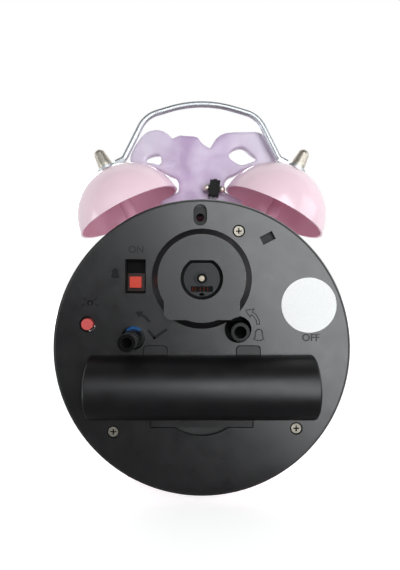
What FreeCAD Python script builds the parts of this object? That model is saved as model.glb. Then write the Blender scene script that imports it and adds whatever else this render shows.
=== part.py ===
import FreeCAD, Part
import Sketcher
import math
import os
import re
from FreeCAD import Placement, Rotation, Vector

# Twin-bell alarm clock. Millimetres, +Z up, dial towards -Y, rear cover towards +Y.
# The origin is on the resting surface, under the middle of the bounding box.
# Left and right are as seen from the dial side, so right is +X.
# A depth runs forward from the rear cover's face, and a height is above the dial's centre.

SIZES = {
    # Whole clock
    "standing_gap": 3.5,
    "case_depth": 42.0,
    "case_radius": 56.5,
    "case_wall": 0.8,
    "drum_step": 4.0,
    "fit_gap": 0.15,
    "running_gap": 0.05,
    "press_gap": 0.02,
    "overrun": 1.0,
    # Rear cover
    "cover_inset": 0.5,
    "cover_edge": 0.5,
    "flange_thickness": 1.2,
    "cover_wall": 2.2,
    "skirt_length": 5.8,
    "skirt_wall": 1.6,
    "hub_height_up": 26.2,
    "hub_rise": 5.5,
    "hub_base_radius": 19.2,
    "hub_top_radius": 16.2,
    "hub_roof": 2.3,
    "hub_block_half": 13.9,
    "hub_block_drop": 15.2,
    "hub_block_chamfer": 1.7,
    "cap_window_radius": 7.8,
    "cap_window_flat": 6.7,
    "cradle_wall": 1.5,
    "cradle_end": 12.0,
    "slot_x": 0.6,
    "slot_inset": 5.7,
    "slot_width": 5.1,
    "slot_length": 8.1,
    "slot_depth": 1.3,
    "slot_hole_radius": 1.55,
    "slot_hole_drop": 0.8,
    "notch_x": -24.9,
    "notch_height": 41.6,
    "notch_length": 5.2,
    "notch_width": 3.3,
    "notch_depth": 1.5,
    "notch_angle": 27.0,
    # Cover screws
    "screw_a_x": -14.0,
    "screw_a_height": 44.2,
    "screw_b_x": 33.5,
    "screw_b_height": -31.7,
    "screw_c_x": -35.7,
    "screw_c_height": -30.4,
    "screw_recess_radius": 2.4,
    "screw_recess_depth": 1.1,
    "screw_head_radius": 1.85,
    "screw_head_thickness": 1.0,
    "screw_shank_radius": 1.0,
    "screw_length": 9.0,
    "screw_cross_length": 2.2,
    "screw_cross_width": 0.5,
    "screw_cross_depth": 0.6,
    # Battery door and its compartment
    "door_half": 42.3,
    "door_centre": -14.7,
    "door_radius": 12.1,
    "door_wall": 1.5,
    "door_edge": 1.0,
    "door_plate": 1.0,
    "door_plate_gap": 0.3,
    "door_lip_depth": 1.9,
    "door_lip_wall": 1.3,
    "opening_half": 41.0,
    "opening_half_height": 10.5,
    "recess_depth": 1.2,
    "tab_centre": 17.6,
    "tab_half": 4.7,
    "tab_top": 1.0,
    "tab_corner": 1.5,
    "latch_half": 19.5,
    "latch_bottom": -30.2,
    "thumb_half": 10.3,
    "thumb_drop": 3.1,
    "thumb_depth": 1.5,
    "tray_wall": 1.2,
    "cell_radius": 7.25,
    "cell_half": 24.6,
    "cell_nub_radius": 2.7,
    "cell_nub_length": 1.0,
    "cell_depth": 2.2,
    "rib_wall": 1.4,
    "contact_room": 2.6,
    "contact_half": 5.0,
    "contact_thickness": 0.4,
    "spring_room": 5.0,
    "spring_radius": 3.4,
    "spring_wire": 0.35,
    "spring_turns": 3.0,
    # Knobs and their shafts
    "time_x": 26.0,
    "time_height": 3.8,
    "time_hole_radius": 4.5,
    "time_knob_radius": 3.2,
    "time_knob_reach": 14.5,
    "time_socket_radius": 2.0,
    "collar_radius": 4.2,
    "collar_thickness": 1.4,
    "alarm_x": -13.7,
    "alarm_height": 7.0,
    "alarm_hole_radius": 5.1,
    "alarm_knob_radius": 3.4,
    "alarm_knob_reach": 9.6,
    "alarm_socket_radius": 2.2,
    "knob_inner_end": 3.0,
    "socket_depth": 5.5,
    "knob_floor": 1.5,
    "knob_flutes": 20,
    "knob_flute_depth": 0.3,
    "shaft_radius": 1.5,
    # Alarm switch
    "switch_x": 25.1,
    "switch_height": 27.1,
    "window_half_width": 3.9,
    "window_half_height": 6.5,
    "slider_half_width": 2.2,
    "slider_half_height": 2.1,
    "slider_drop": 2.2,
    "slider_recess": 0.4,
    "slider_travel": 4.4,
    "slider_plate_half_width": 3.3,
    "slider_plate_half_height": 3.4,
    "slider_plate_thickness": 1.4,
    "switch_half_width": 7.0,
    "switch_half_height": 11.0,
    "switch_thickness": 5.5,
    # Light button
    "button_x": 43.2,
    "button_height": 9.0,
    "button_hole_radius": 3.1,
    "button_radius": 2.15,
    "button_rise": 0.8,
    "button_flange_radius": 3.7,
    "button_flange_thickness": 0.8,
    "button_travel": 1.0,
    "button_boss_radius": 6.2,
    "button_boss_wall": 1.2,
    "button_boss_end": 8.4,
    "button_switch_half": 3.0,
    "button_switch_gap": 0.3,
    "button_board_thickness": 1.0,
    # Round label
    "label_x": -40.5,
    "label_height": 16.2,
    "label_radius": 10.4,
    "label_thickness": 0.15,
    # Bells
    "bell_polar": 29.6,
    "bell_tilt": 27.5,
    "bell_depth": 24.0,
    "bell_rise": 6.8,
    "bell_radius": 23.0,
    "bell_height": 21.0,
    "bell_wall": 0.9,
    "bell_seat_radius": 4.0,
    "stud_radius": 1.45,
    "sleeve_radius": 2.6,
    "sleeve_seat_gap": 0.15,
    "stud_nut_gap": 0.3,
    "stud_nut_thickness": 2.4,
    "stud_nut_half": 2.75,
    "stud_tail": 1.2,
    "cap_nut_radius": 3.1,
    "cap_nut_skirt": 1.6,
    "cap_nut_neck_radius": 2.5,
    "cap_nut_shoulder": 6.2,
    "cap_nut_length": 8.7,
    "cap_nut_bore_length": 5.0,
    # Handle
    "wire_radius": 1.35,
    "wire_bell_gap": 0.15,
    "eyelet_radius": 4.2,
    "eyelet_thickness": 1.4,
    "eyelet_tongue_half": 1.9,
    "handle_wire_start": 4.6,
    "handle_kink": 8.6,
    "handle_kink_radius": 3.0,
    "shoulder_inset": 3.5,
    "shoulder_rise": 40.7,
    "shoulder_radius": 12.0,
    "peak_rise": 48.0,
    "peak_radius": 48.0,
    # Crest
    "crest_x": -1.1,
    "crest_depth": 27.6,
    "crest_thickness": 5.0,
    "crest_half_width": 32.9,
    "crest_sink": 1.0,
    "crest_rise": 36.7,
    "crest_edge": 1.0,
    "crest_seat_gap": 0.1,
    "crest_bell_gap": 0.45,
    "crest_neck_rise": 14.0,
    "crest_flare": 8.0,
    "crest_flare_gap": 0.6,
    "crest_screw_half": 6.5,
    "crest_screw_length": 9.0,
    "crest_screw_head_radius": 2.2,
    "crest_screw_head": 1.3,
    "knot_x": 4.7,
    "knot_half_width": 6.4,
    "knot_half_height": 8.5,
    "knot_centre_rise": 23.0,
    "knot_rise": 1.2,
    # Feet
    "foot_polar": 26.0,
    "foot_depth": 27.0,
    "foot_radius": 4.5,
    "foot_tip_radius": 3.2,
    "foot_collar": 1.6,
    "foot_gap": 0.05,
    "rear_foot_depth": 11.6,
    "rear_foot_radius": 3.2,
    # Front: bezel, lens, ring and dial
    "bezel_overhang": 1.5,
    "bezel_length": 8.0,
    "bezel_round": 3.2,
    "bezel_flat": 2.2,
    "bezel_face": 8.0,
    "bezel_lip": 1.6,
    "bezel_edge": 0.6,
    "lens_seat": 3.8,
    "lens_thickness": 1.3,
    "lens_inset": 3.0,
    "ring_gap": 0.2,
    "ring_flare": 1.4,
    "ring_land": 0.8,
    "dial_recess": 7.6,
    "dial_thickness": 0.6,
    "bush_radius": 4.0,
    "frame_thickness": 1.5,
    "frame_gap": 0.3,
    "post_radius": 3.0,
    "post_bore_depth": 9.0,
    "lamp_x": 30.0,
    "lamp_height": 30.0,
    "lamp_radius": 1.5,
    "lamp_length": 4.6,
    "lamp_flange_radius": 1.9,
    "lamp_flange": 0.8,
    # Movement
    "movement_x": 5.0,
    "movement_half_width": 30.0,
    "movement_top": 14.5,
    "movement_bottom": -26.0,
    "movement_length": 13.9,
    "movement_wall": 1.2,
    "nut_radius": 6.0,
    "nut_thickness": 1.4,
    "second_arbor_radius": 0.5,
    "minute_tube_radius": 1.1,
    "hour_tube_radius": 1.8,
    "alarm_tube_radius": 2.6,
    "layer_gap": 0.4,
    "second_wheel_thickness": 0.6,
    "minute_wheel_thickness": 1.1,
    "pinion_thickness": 1.3,
    "alarm_wheel_thickness": 1.3,
    "alarm_layer_drop": 5.9,
    "second_teeth": 60,
    "second_wheel_radius": 8.5,
    "minute_teeth": 24,
    "idler_teeth": 20,
    "time_teeth": 12,
    "minute_pinion_teeth": 12,
    "motion_teeth": 36,
    "motion_pinion_teeth": 12,
    "hour_teeth": 48,
    "alarm_teeth": 32,
    "alarm_pinion_teeth": 16,
    "motion_distance": 12.0,
    "motion_angle": -75.0,
    "pin_radius": 0.8,
    "board_half_width": 10.0,
    "board_inset": 2.5,
    "board_bottom": -24.0,
    "board_top": -13.5,
    "board_drop": 3.3,
    "board_thickness": 1.0,
    "coil_radius": 2.8,
    "coil_half": 6.5,
    "coil_shift": 2.0,
    "coil_height": -18.7,
    "coil_cheek_radius": 3.4,
    "coil_cheek": 0.8,
    # Hands
    "hand_gap": 0.6,
    "hand_thickness": 0.45,
    "hand_hub_extra": 1.6,
    "minute_length": 38.0,
    "minute_half_width": 1.7,
    "hour_length": 26.0,
    "hour_half_width": 2.3,
    "alarm_length": 19.0,
    "alarm_half_width": 1.3,
    "second_length": 41.0,
    "second_tail": 12.0,
    "second_half_width": 0.6,
    "hand_tip_half": 0.5,
    "minute_angle": 60.0,
    "hour_angle": -55.0,
    "alarm_angle": 180.0,
    "second_angle": 150.0,
    # Motor, cam and hammer
    "motor_radius": 9.9,
    "motor_rear": -2.9,
    "motor_front": 18.0,
    "motor_wall": 0.8,
    "end_cap_thickness": 1.4,
    "end_cap_ring_radius": 2.53,
    "end_cap_ring_rise": 0.8,
    "end_cap_slot_half": 4.1,
    "end_cap_slot_drop": 3.9,
    "end_cap_slot_half_height": 1.0,
    "end_cap_slot_depth": 0.8,
    "motor_boss_radius": 3.0,
    "motor_boss_length": 1.6,
    "motor_shaft_radius": 1.0,
    "motor_shaft_rear": 1.1,
    "magnet_wall": 2.4,
    "armature_radius": 5.6,
    "armature_length": 9.0,
    "armature_rear": 5.0,
    "cam_radius": 3.2,
    "cam_rear": 20.2,
    "cam_thickness": 3.0,
    "crank_radius": 0.6,
    "crank_offset": 0.9,
    "crank_length": 3.2,
    "bracket_thickness": 1.2,
    "bracket_half_width": 8.0,
    "bracket_top": 33.0,
    "bracket_bottom": 15.0,
    "pivot_height": 18.5,
    "pivot_radius": 1.0,
    "pivot_shoulder_radius": 1.6,
    "pivot_head_radius": 1.8,
    "pivot_head": 0.6,
    "arm_thickness": 1.0,
    "arm_depth": 24.0,
    "arm_half_width": 1.4,
    "arm_eye_radius": 2.4,
    "arm_ring_radius": 4.2,
    "arm_ring_gap": 0.2,
    "hammer_lean": 6.7,
    "head_rise": 9.37,
    "head_half_length": 3.3,
    "head_half_width": 2.2,
    "head_half_thickness": 2.3,
    "head_lug_half": 0.8,
    "head_lug_rise": 0.5,
    "head_edge": 0.4,
    "ball_radius": 1.55,
    "ball_reach": 3.3,
    "hammer_slot_half": 7.6,
    "hammer_slot_half_depth": 2.4,
}

# Values worked out from the sizes above
DERIVED = {
    "rear_y": "(max(case_depth; bell_depth + bell_radius) - time_knob_reach) / 2",
    "axis_height": "case_radius + standing_gap",
    "case_bore": "case_radius - case_wall",
    "cover_radius": "case_radius - cover_inset",
    "bezel_radius": "case_radius + bezel_overhang",
    "bezel_opening": "bezel_radius - bezel_face",
    "lens_radius": "bezel_opening + lens_seat",
    "ring_radius": "lens_radius - ring_gap",
    "ring_throat": "bezel_opening + ring_gap",
    "ring_foot": "ring_throat + ring_flare",
    "frame_radius": "case_bore - frame_gap",
    "slot_height": "cover_radius - slot_inset",
    "drum_front": "case_depth - drum_step",
    "bezel_rear": "case_depth - bezel_length",
    "lens_rear": "case_depth - lens_inset",
    "dial_rear": "lens_rear - dial_recess",
    "skirt_radius": "case_bore - fit_gap",
    "skirt_end": "flange_thickness + skirt_length",
    "motor_bore": "motor_radius + fit_gap",
    "cradle_radius": "motor_bore + cradle_wall",
    "opening_top": "door_centre + opening_half_height",
    "opening_bottom": "door_centre - opening_half_height",
    "tray_floor": "cell_depth + cell_radius + fit_gap",
    "post_end": "dial_rear - frame_thickness",
    "movement_front": "dial_rear - frame_thickness",
    "movement_rear": "movement_front - movement_length",
    "alarm_layer": "movement_front - alarm_layer_drop",
    "board_depth": "movement_front - board_drop",
    "board_x": "movement_x - movement_half_width + board_half_width + board_inset",
    "coil_x": "board_x - coil_shift",
    "lid_rear": "movement_front - movement_wall",
    "movement_inner": "movement_rear + movement_wall",
    "dial_front": "dial_rear + dial_thickness",
    "bush_front": "dial_front + nut_thickness",
    "alarm_hand_depth": "bush_front + hand_gap",
    "hour_hand_depth": "alarm_hand_depth + hand_thickness + hand_gap",
    "minute_hand_depth": "hour_hand_depth + hand_thickness + hand_gap",
    "second_hand_depth": "minute_hand_depth + hand_thickness + hand_gap",
    "second_layer": "movement_inner + layer_gap",
    "minute_layer": "second_layer + second_wheel_thickness + layer_gap",
    "motion_layer": "minute_layer + minute_wheel_thickness + layer_gap",
    "hour_layer": "motion_layer + pinion_thickness + layer_gap",
    "time_distance": "sqrt(time_x^2 + time_height^2)",
    "time_module": "2 * time_distance / (minute_teeth + 2 * idler_teeth + time_teeth)",
    "idler_distance": "time_module * (minute_teeth + idler_teeth) / 2",
    "alarm_distance": "sqrt(alarm_x^2 + alarm_height^2)",
    "alarm_module": "2 * alarm_distance / (alarm_teeth + alarm_pinion_teeth)",
    "motion_module": "2 * motion_distance / (minute_pinion_teeth + motion_teeth)",
    "hour_module": "2 * motion_distance / (motion_pinion_teeth + hour_teeth)",
    "second_module": "2 * second_wheel_radius / second_teeth",
    "bell_sphere": "(bell_radius^2 + bell_height^2) / (2 * bell_height)",
    "bell_inner_sphere": "bell_sphere - bell_wall",
    "bell_centre": "bell_rise + bell_height - bell_sphere",
    "bell_top": "bell_centre + sqrt(bell_sphere^2 - bell_seat_radius^2)",
    "bell_hole": "stud_radius + fit_gap",
    "bell_rim_x": "case_radius * sin(bell_polar) + bell_rise * sin(bell_tilt) - bell_radius * cos(bell_tilt)",
    "bell_mouth_height": "case_radius * cos(bell_polar) + bell_rise * cos(bell_tilt)",
    "bell_rim_height": "bell_mouth_height + bell_radius * sin(bell_tilt)",
    "bell_inner_rim": "sqrt(bell_inner_sphere^2 - (bell_rise - bell_centre)^2)",
    "bell_inner_top": "bell_centre + sqrt(bell_inner_sphere^2 - bell_hole^2)",
    "sleeve_top": "bell_centre + sqrt(bell_inner_sphere^2 - sleeve_radius^2)",
    "eyelet_top": "bell_top + eyelet_thickness",
    "shoulder_x": "case_radius * sin(bell_polar) - shoulder_inset",
    "shoulder_height": "case_radius + shoulder_rise",
    "peak_height": "case_radius + peak_rise",
    "drum_seat": "case_radius + crest_seat_gap",
    "crest_base_height": "case_radius - crest_sink",
    "crest_top_height": "case_radius + crest_rise",
    "crest_foot_height": "sqrt(case_radius ^ 2 - (bell_rim_x + crest_flare) ^ 2) - crest_sink",
    "crest_flare_top": "bell_rim_height + crest_bell_gap * tan(bell_tilt) - crest_flare_gap / cos(bell_tilt)",
    "crest_flare_end": "crest_flare_top - crest_flare * tan(bell_tilt)",
    "knot_height": "case_radius + knot_centre_rise",
    "head_centre": "(case_radius + head_rise - pivot_height) / cos(hammer_lean)",
    "arm_hole_radius": "2 * crank_offset + crank_radius + arm_ring_gap",
    "hammer_ring_height": "hub_height_up - pivot_height",
    "slider_height": "switch_height - slider_drop",
    "plate_depth": "cover_wall + fit_gap",
}

# Gear teeth and knob flutes as shares of their module and pitch
TOOTH_ROOT_SHARE = 0.30
TOOTH_TIP_SHARE = 0.12
TOOTH_RISE_SHARE = 0.90
TOOTH_DROP_SHARE = 1.15
FLUTE_ROOT_SHARE = 0.40
FLUTE_TIP_SHARE = 0.22

# Outlines of the crest, as shares of its half width and of its height
CREST_BODY_SHARES = [(-0.392, 0.507), (-0.331, 0.703), (-0.073, 0.775), (0.024, 0.833), (0.094, 0.912),
                     (0.331, 0.931), (0.426, 0.889), (0.459, 0.650), (0.459, 0.507)]
LOOP_RIGHT_SHARES = [(0.234, 0.557), (0.353, 0.769), (0.441, 0.905), (0.538, 0.976), (0.657, 0.997),
                     (0.781, 0.968), (0.903, 0.851), (0.994, 0.703), (1.000, 0.618), (0.915, 0.586),
                     (0.763, 0.562), (0.611, 0.517), (0.444, 0.443), (0.295, 0.438)]
HOLE_RIGHT_SHARES = [(0.578, 0.639), (0.617, 0.698), (0.726, 0.682), (0.787, 0.647), (0.775, 0.615),
                     (0.687, 0.599), (0.605, 0.578)]
LOOP_LEFT_SHARES = [(0.003, 0.650), (-0.094, 0.796), (-0.149, 0.878), (-0.246, 0.947), (-0.362, 0.968),
                    (-0.574, 0.971), (-0.775, 0.958), (-0.897, 0.846), (-0.988, 0.708), (-0.994, 0.623),
                    (-0.894, 0.589), (-0.711, 0.565), (-0.544, 0.517), (-0.377, 0.443), (-0.210, 0.438)]
HOLE_LEFT_SHARES = [(-0.334, 0.711), (-0.422, 0.772), (-0.520, 0.782), (-0.620, 0.714), (-0.699, 0.634),
                    (-0.620, 0.605), (-0.523, 0.576), (-0.422, 0.607)]

os.makedirs("parts", exist_ok=True)
doc = FreeCAD.newDocument("TwinBellClock")
sheet = doc.addObject("Spreadsheet::Sheet", "Sizes")
for row, (alias, number) in enumerate(SIZES.items(), start=1):
    sheet.set(f"A{row}", alias)
    sheet.set(f"B{row}", str(number))
    sheet.setAlias(f"B{row}", alias)
doc.recompute()

NAMES = re.compile(r"[a-z][a-z_]*[a-z]")
FORWARD = Rotation(Vector(1, 0, 0), 90)
UPRIGHT = Rotation()
ALONG_X = Rotation(Vector(0, 1, 0), 90)
ORIGIN_POINT = (-1, 1)
nodes = []


def full(text):
    """The expression text with each name turned into a cell of the sheet."""
    def one(found):
        name = found.group(0)
        if name in DERIVED:
            return "(" + full(DERIVED[name]) + ")"
        if name in SIZES:
            return "Sizes." + name
        return name
    return NAMES.sub(one, text)


def value(text):
    """The number that an expression text stands for."""
    result = sheet.evalExpression(full(text))
    return float(getattr(result, "Value", result))


def bind(item, prop, text):
    item.setExpression(prop, full(text))


def node(item, label):
    """Names a finished piece."""
    item.Label = label
    nodes.append(item)
    return item


def seat(item, x="0", depth="0", height="0", turn=FORWARD):
    """Places an item from the dial axis at the rear cover's face."""
    y = f"rear_y - ({depth})"
    z = f"axis_height + ({height})"
    item.Placement = Placement(Vector(value(x), value(y), value(z)), turn)
    bind(item, "Placement.Base.x", x)
    bind(item, "Placement.Base.y", y)
    bind(item, "Placement.Base.z", z)
    return item


def cylinder(name, radius, length, x="0", depth="0", height="0", turn=FORWARD):
    item = doc.addObject("Part::Cylinder", name)
    bind(item, "Radius", radius)
    bind(item, "Height", length)
    return seat(item, x, depth, height, turn)


def block(name, width, depth_size, height_size, x, depth, height):
    """A box centred on x, from a depth forward, with its middle at a height."""
    item = doc.addObject("Part::Box", name)
    bind(item, "Length", width)
    bind(item, "Width", depth_size)
    bind(item, "Height", height_size)
    low_x = f"{x} - ({width}) / 2"
    front = f"({depth}) + ({depth_size})"
    low = f"({height}) - ({height_size}) / 2"
    return seat(item, low_x, front, low, UPRIGHT)


def fuse(name, shapes):
    item = doc.addObject("Part::MultiFuse", name)
    item.Shapes = shapes
    return item


def cut(name, base, tools):
    item = doc.addObject("Part::Cut", name)
    item.Base = base
    item.Tool = tools[0] if len(tools) == 1 else fuse(name + "Tools", tools)
    return item


def group(name, shapes):
    item = doc.addObject("Part::Compound", name)
    item.Links = shapes
    return item


def body(name, x="0", depth="0", height="0", turn=FORWARD):
    return seat(doc.addObject("PartDesign::Body", name), x, depth, height, turn)


def plane(part, role):
    return next(p for p in part.Origin.OriginFeatures if p.Role == role)


def sketch_on(part, name, role="XY_Plane", start="0", turn="0"):
    item = part.newObject("Sketcher::SketchObject", name)
    item.AttachmentSupport = [(plane(part, role), "")]
    item.MapMode = "FlatFace"
    item.AttachmentOffset = Placement(Vector(0, 0, value(start)), Rotation(Vector(0, 0, 1), value(turn)))
    bind(item, "AttachmentOffset.Base.z", start)
    bind(item, "AttachmentOffset.Rotation.Angle", turn)
    return item


def hold(sketch, geometry, end, x, y):
    """Fixes one end of a line or arc at a point."""
    for kind, text in (("DistanceX", x), ("DistanceY", y)):
        place = (kind, *ORIGIN_POINT, geometry, end, value(text))
        index = sketch.addConstraint(Sketcher.Constraint(*place))
        sketch.setExpression(f"Constraints[{index}]", full(text))


def outline(sketch, points):
    """A closed outline. A point's third entry is the radius of the arc that arrives there, and its
    fourth is 1 where that arc bulges to the left of the way along the outline, or -1."""
    places = [Vector(value(p[0]), value(p[1]), 0) for p in points]
    edges = []
    for index, point in enumerate(points):
        start, stop = places[index - 1], places[index]
        if len(point) == 2:
            edges.append((sketch.addGeometry(Part.LineSegment(start, stop)), 1, 2))
            continue
        radius, side = value(point[2]), point[3]
        chord = stop - start
        rise = math.sqrt(max(radius ** 2 - (chord.Length / 2) ** 2, 0))
        left = Vector(-chord.y, chord.x, 0).normalize()
        centre = (start + stop) / 2 - left * side * rise
        angles = [math.atan2(p.y - centre.y, p.x - centre.x) for p in (start, stop)]
        if side > 0:
            angles.reverse()
        circle = Part.Circle(centre, Vector(0, 0, 1), radius)
        arc = sketch.addGeometry(Part.ArcOfCircle(circle, *angles))
        edges.append((arc, 2, 1) if side > 0 else (arc, 1, 2))
        held = sketch.addConstraint(Sketcher.Constraint("Radius", arc, radius))
        sketch.setExpression(f"Constraints[{held}]", full(point[2]))
    for index, point in enumerate(points):
        edge, _, last = edges[index]
        following, first, _ = edges[(index + 1) % len(edges)]
        sketch.addConstraint(Sketcher.Constraint("Coincident", edge, last, following, first))
        hold(sketch, edge, last, point[0], point[1])


def circles(sketch, rounds):
    """Full circles, each given as x, y and radius."""
    for x, y, radius in rounds:
        circle = Part.Circle(Vector(value(x), value(y), 0), Vector(0, 0, 1), value(radius))
        index = sketch.addGeometry(circle)
        hold(sketch, index, 3, x, y)
        held = sketch.addConstraint(Sketcher.Constraint("Radius", index, value(radius)))
        sketch.setExpression(f"Constraints[{held}]", full(radius))


def feature(part, kind, name, sketch, length, backwards=False):
    item = part.newObject("PartDesign::" + kind, name)
    item.Profile = sketch
    bind(item, "Length", length)
    item.Reversed = backwards
    doc.recompute()
    return item


def pad(part, name, start, length, points=None, rounds=None, role="XY_Plane", turn="0"):
    sketch = sketch_on(part, name + "Sketch", role, start, turn)
    outline(sketch, points) if points else circles(sketch, rounds)
    return feature(part, "Pad", name, sketch, length)


def pocket(part, name, start, length, points=None, rounds=None, turn="0"):
    """Cuts forward from a depth. The volume has to fall."""
    before = part.Shape.Volume
    sketch = sketch_on(part, name + "Sketch", start=start, turn=turn)
    outline(sketch, points) if points else circles(sketch, rounds)
    item = feature(part, "Pocket", name, sketch, length, backwards=True)
    if part.Shape.Volume >= before:
        raise RuntimeError(name + " cuts nothing")
    return item


def revolve(part, name, points):
    """Turns a profile of radius and depth about the body's own axis."""
    sketch = sketch_on(part, name + "Sketch", "XZ_Plane")
    outline(sketch, points)
    item = part.newObject("PartDesign::Revolution", name)
    item.Profile = sketch
    item.ReferenceAxis = (sketch, ["V_Axis"])
    item.Angle = 360
    doc.recompute()
    return item


def rectangle(left, bottom, right, top):
    return [(left, bottom), (right, bottom), (right, top), (left, top)]


def rounded_slot(x, height, width, length):
    """An upright slot with round ends, in quarter arcs."""
    r = f"{width} / 2"
    low = f"{height} - {length} / 2"
    high = f"{height} + {length} / 2"
    return [
        (f"{x} - {r}", f"{low} + {r}"),
        (x, low, r, -1),
        (f"{x} + {r}", f"{low} + {r}", r, -1),
        (f"{x} + {r}", f"{high} - {r}"),
        (x, high, r, -1),
        (f"{x} - {r}", f"{high} - {r}", r, -1),
    ]



# Rear cover: plate, skirt, motor hub, battery tray and every opening in it
cover = body("RearCover")
revolve(cover, "CoverDisc", [
    ("0", "0"),
    ("cover_radius - cover_edge", "0"),
    ("cover_radius", "cover_edge"),
    ("cover_radius", "flange_thickness"),
    ("skirt_radius", "flange_thickness"),
    ("skirt_radius", "skirt_end"),
    ("skirt_radius - skirt_wall", "skirt_end"),
    ("skirt_radius - skirt_wall", "cover_wall"),
    ("0", "cover_wall"),
])
hub = cover.newObject("PartDesign::AdditiveCone", "HubCone")
hub.AttachmentSupport = [(plane(cover, "XY_Plane"), "")]
hub.MapMode = "FlatFace"
bind(hub, "AttachmentOffset.Base.y", "hub_height_up")
bind(hub, "AttachmentOffset.Base.z", "-hub_rise")
bind(hub, "Radius1", "hub_top_radius")
bind(hub, "Radius2", "hub_base_radius")
bind(hub, "Height", "hub_rise + cover_edge")
doc.recompute()
block_bottom = "hub_height_up - hub_block_drop"
pad(cover, "HubBlock", "-hub_rise", "hub_rise + cover_edge", [
    ("-hub_block_half", f"{block_bottom} + hub_block_chamfer"),
    ("-hub_block_half + hub_block_chamfer", block_bottom),
    ("hub_block_half - hub_block_chamfer", block_bottom),
    ("hub_block_half", f"{block_bottom} + hub_block_chamfer"),
    ("hub_block_half", "hub_height_up - cap_window_flat"),
    ("-hub_block_half", "hub_height_up - cap_window_flat"),
])
pad(cover, "Cradle", "cover_edge", "cradle_end - cover_edge",
    rounds=[("0", "hub_height_up", "cradle_radius")])
pad(cover, "TrayBlock", "cover_edge", "tray_floor + tray_wall - cover_edge", rectangle(
    "-opening_half - tray_wall", "opening_bottom - tray_wall",
    "opening_half + tray_wall", "opening_top + tray_wall"))
pad(cover, "ButtonBoss", "cover_edge", "button_boss_end - cover_edge",
    rounds=[("button_x", "button_height", "button_boss_radius")])
pocket(cover, "MotorBore", "-hub_rise + hub_roof", "cradle_end + hub_rise + overrun",
       rounds=[("0", "hub_height_up", "motor_bore")])
flat_half = "sqrt(cap_window_radius^2 - cap_window_flat^2)"
pocket(cover, "CapWindow", "-hub_rise - overrun", "hub_roof + 2 * overrun", [
    (f"-{flat_half}", "hub_height_up + cap_window_flat"),
    ("-cap_window_radius", "hub_height_up", "cap_window_radius", -1),
    ("0", "hub_height_up - cap_window_radius", "cap_window_radius", -1),
    ("cap_window_radius", "hub_height_up", "cap_window_radius", -1),
    (flat_half, "hub_height_up + cap_window_flat", "cap_window_radius", -1),
])
pocket(cover, "Compartment", "-overrun", "tray_floor + overrun",
       rectangle("-opening_half", "opening_bottom", "opening_half", "opening_top"))
for name, low, high in (("RibLeft", "-cell_half - spring_room - rib_wall", "-cell_half - spring_room"),
                        ("RibRight", "cell_half + contact_room", "cell_half + contact_room + rib_wall")):
    pad(cover, name, "cover_wall", "tray_floor + tray_wall / 2 - cover_wall",
        rectangle(low, "opening_bottom - tray_wall / 2", high, "opening_top + tray_wall / 2"))
for name, middle in (("TabSeatLeft", "-tab_centre"), ("TabSeatRight", "tab_centre")):
    pocket(cover, name, "-overrun", "recess_depth + overrun", [
        (f"{middle} - tab_half", "opening_top - overrun"),
        (f"{middle} - tab_half", "tab_top - tab_corner"),
        (f"{middle} - tab_half + tab_corner", "tab_top", "tab_corner", 1),
        (f"{middle} + tab_half - tab_corner", "tab_top"),
        (f"{middle} + tab_half", "tab_top - tab_corner", "tab_corner", 1),
        (f"{middle} + tab_half", "opening_top - overrun"),
    ])
pocket(cover, "LatchSeat", "-overrun", "recess_depth + overrun",
       rectangle("-latch_half", "latch_bottom", "latch_half", "opening_bottom + overrun"))
thumb_radius = "(thumb_half^2 + thumb_drop^2) / (2 * thumb_drop)"
pocket(cover, "ThumbScoop", "-overrun", "thumb_depth + overrun", [
    ("thumb_half", "latch_bottom + overrun"),
    ("-thumb_half", "latch_bottom + overrun"),
    ("-thumb_half", "latch_bottom"),
    ("0", "latch_bottom - thumb_drop", thumb_radius, -1),
    ("thumb_half", "latch_bottom", thumb_radius, -1),
])
pocket(cover, "SwitchWindow", "-overrun", "cover_wall + 2 * overrun", rectangle(
    "switch_x - window_half_width", "switch_height - window_half_height",
    "switch_x + window_half_width", "switch_height + window_half_height"))
pocket(cover, "ShaftHoles", "-hub_rise - overrun", "hub_rise + cover_wall + 2 * overrun", rounds=[
    ("time_x", "time_height", "time_hole_radius"),
    ("alarm_x", "alarm_height", "alarm_hole_radius"),
])
pocket(cover, "ButtonHole", "-overrun", "cover_wall + 2 * overrun",
       rounds=[("button_x", "button_height", "button_hole_radius")])
pocket(cover, "ButtonBossBore", "cover_wall", "button_boss_end",
       rounds=[("button_x", "button_height", "button_boss_radius - button_boss_wall")])
SCREWS = [(f"screw_{letter}_x", f"screw_{letter}_height") for letter in "abc"]
pocket(cover, "ScrewSeats", "-overrun", "screw_recess_depth + overrun",
       rounds=[(x, height, "screw_recess_radius") for x, height in SCREWS])
pocket(cover, "ScrewHoles", "0", "cover_wall + overrun",
       rounds=[(x, height, "screw_shank_radius + fit_gap") for x, height in SCREWS])
pocket(cover, "HangingSlot", "-overrun", "slot_depth + overrun",
       rounded_slot("slot_x", "slot_height", "slot_width", "slot_length"))
pocket(cover, "HangingHole", "0", "cover_wall + overrun",
       rounds=[("slot_x", "slot_height - slot_hole_drop", "slot_hole_radius")])
corners = []
for along, across in ((-1, -1), (1, -1), (1, 1), (-1, 1)):
    half_length = f"({along} * notch_length / 2)"
    half_width = f"({across} * notch_width / 2)"
    corners.append((
        f"notch_x + {half_length} * cos(notch_angle) + {half_width} * sin(notch_angle)",
        f"notch_height - {half_length} * sin(notch_angle) + {half_width} * cos(notch_angle)"))
pocket(cover, "HookNotch", "-overrun", "notch_depth + overrun", corners)
node(cover, "rear_cover")

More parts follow.
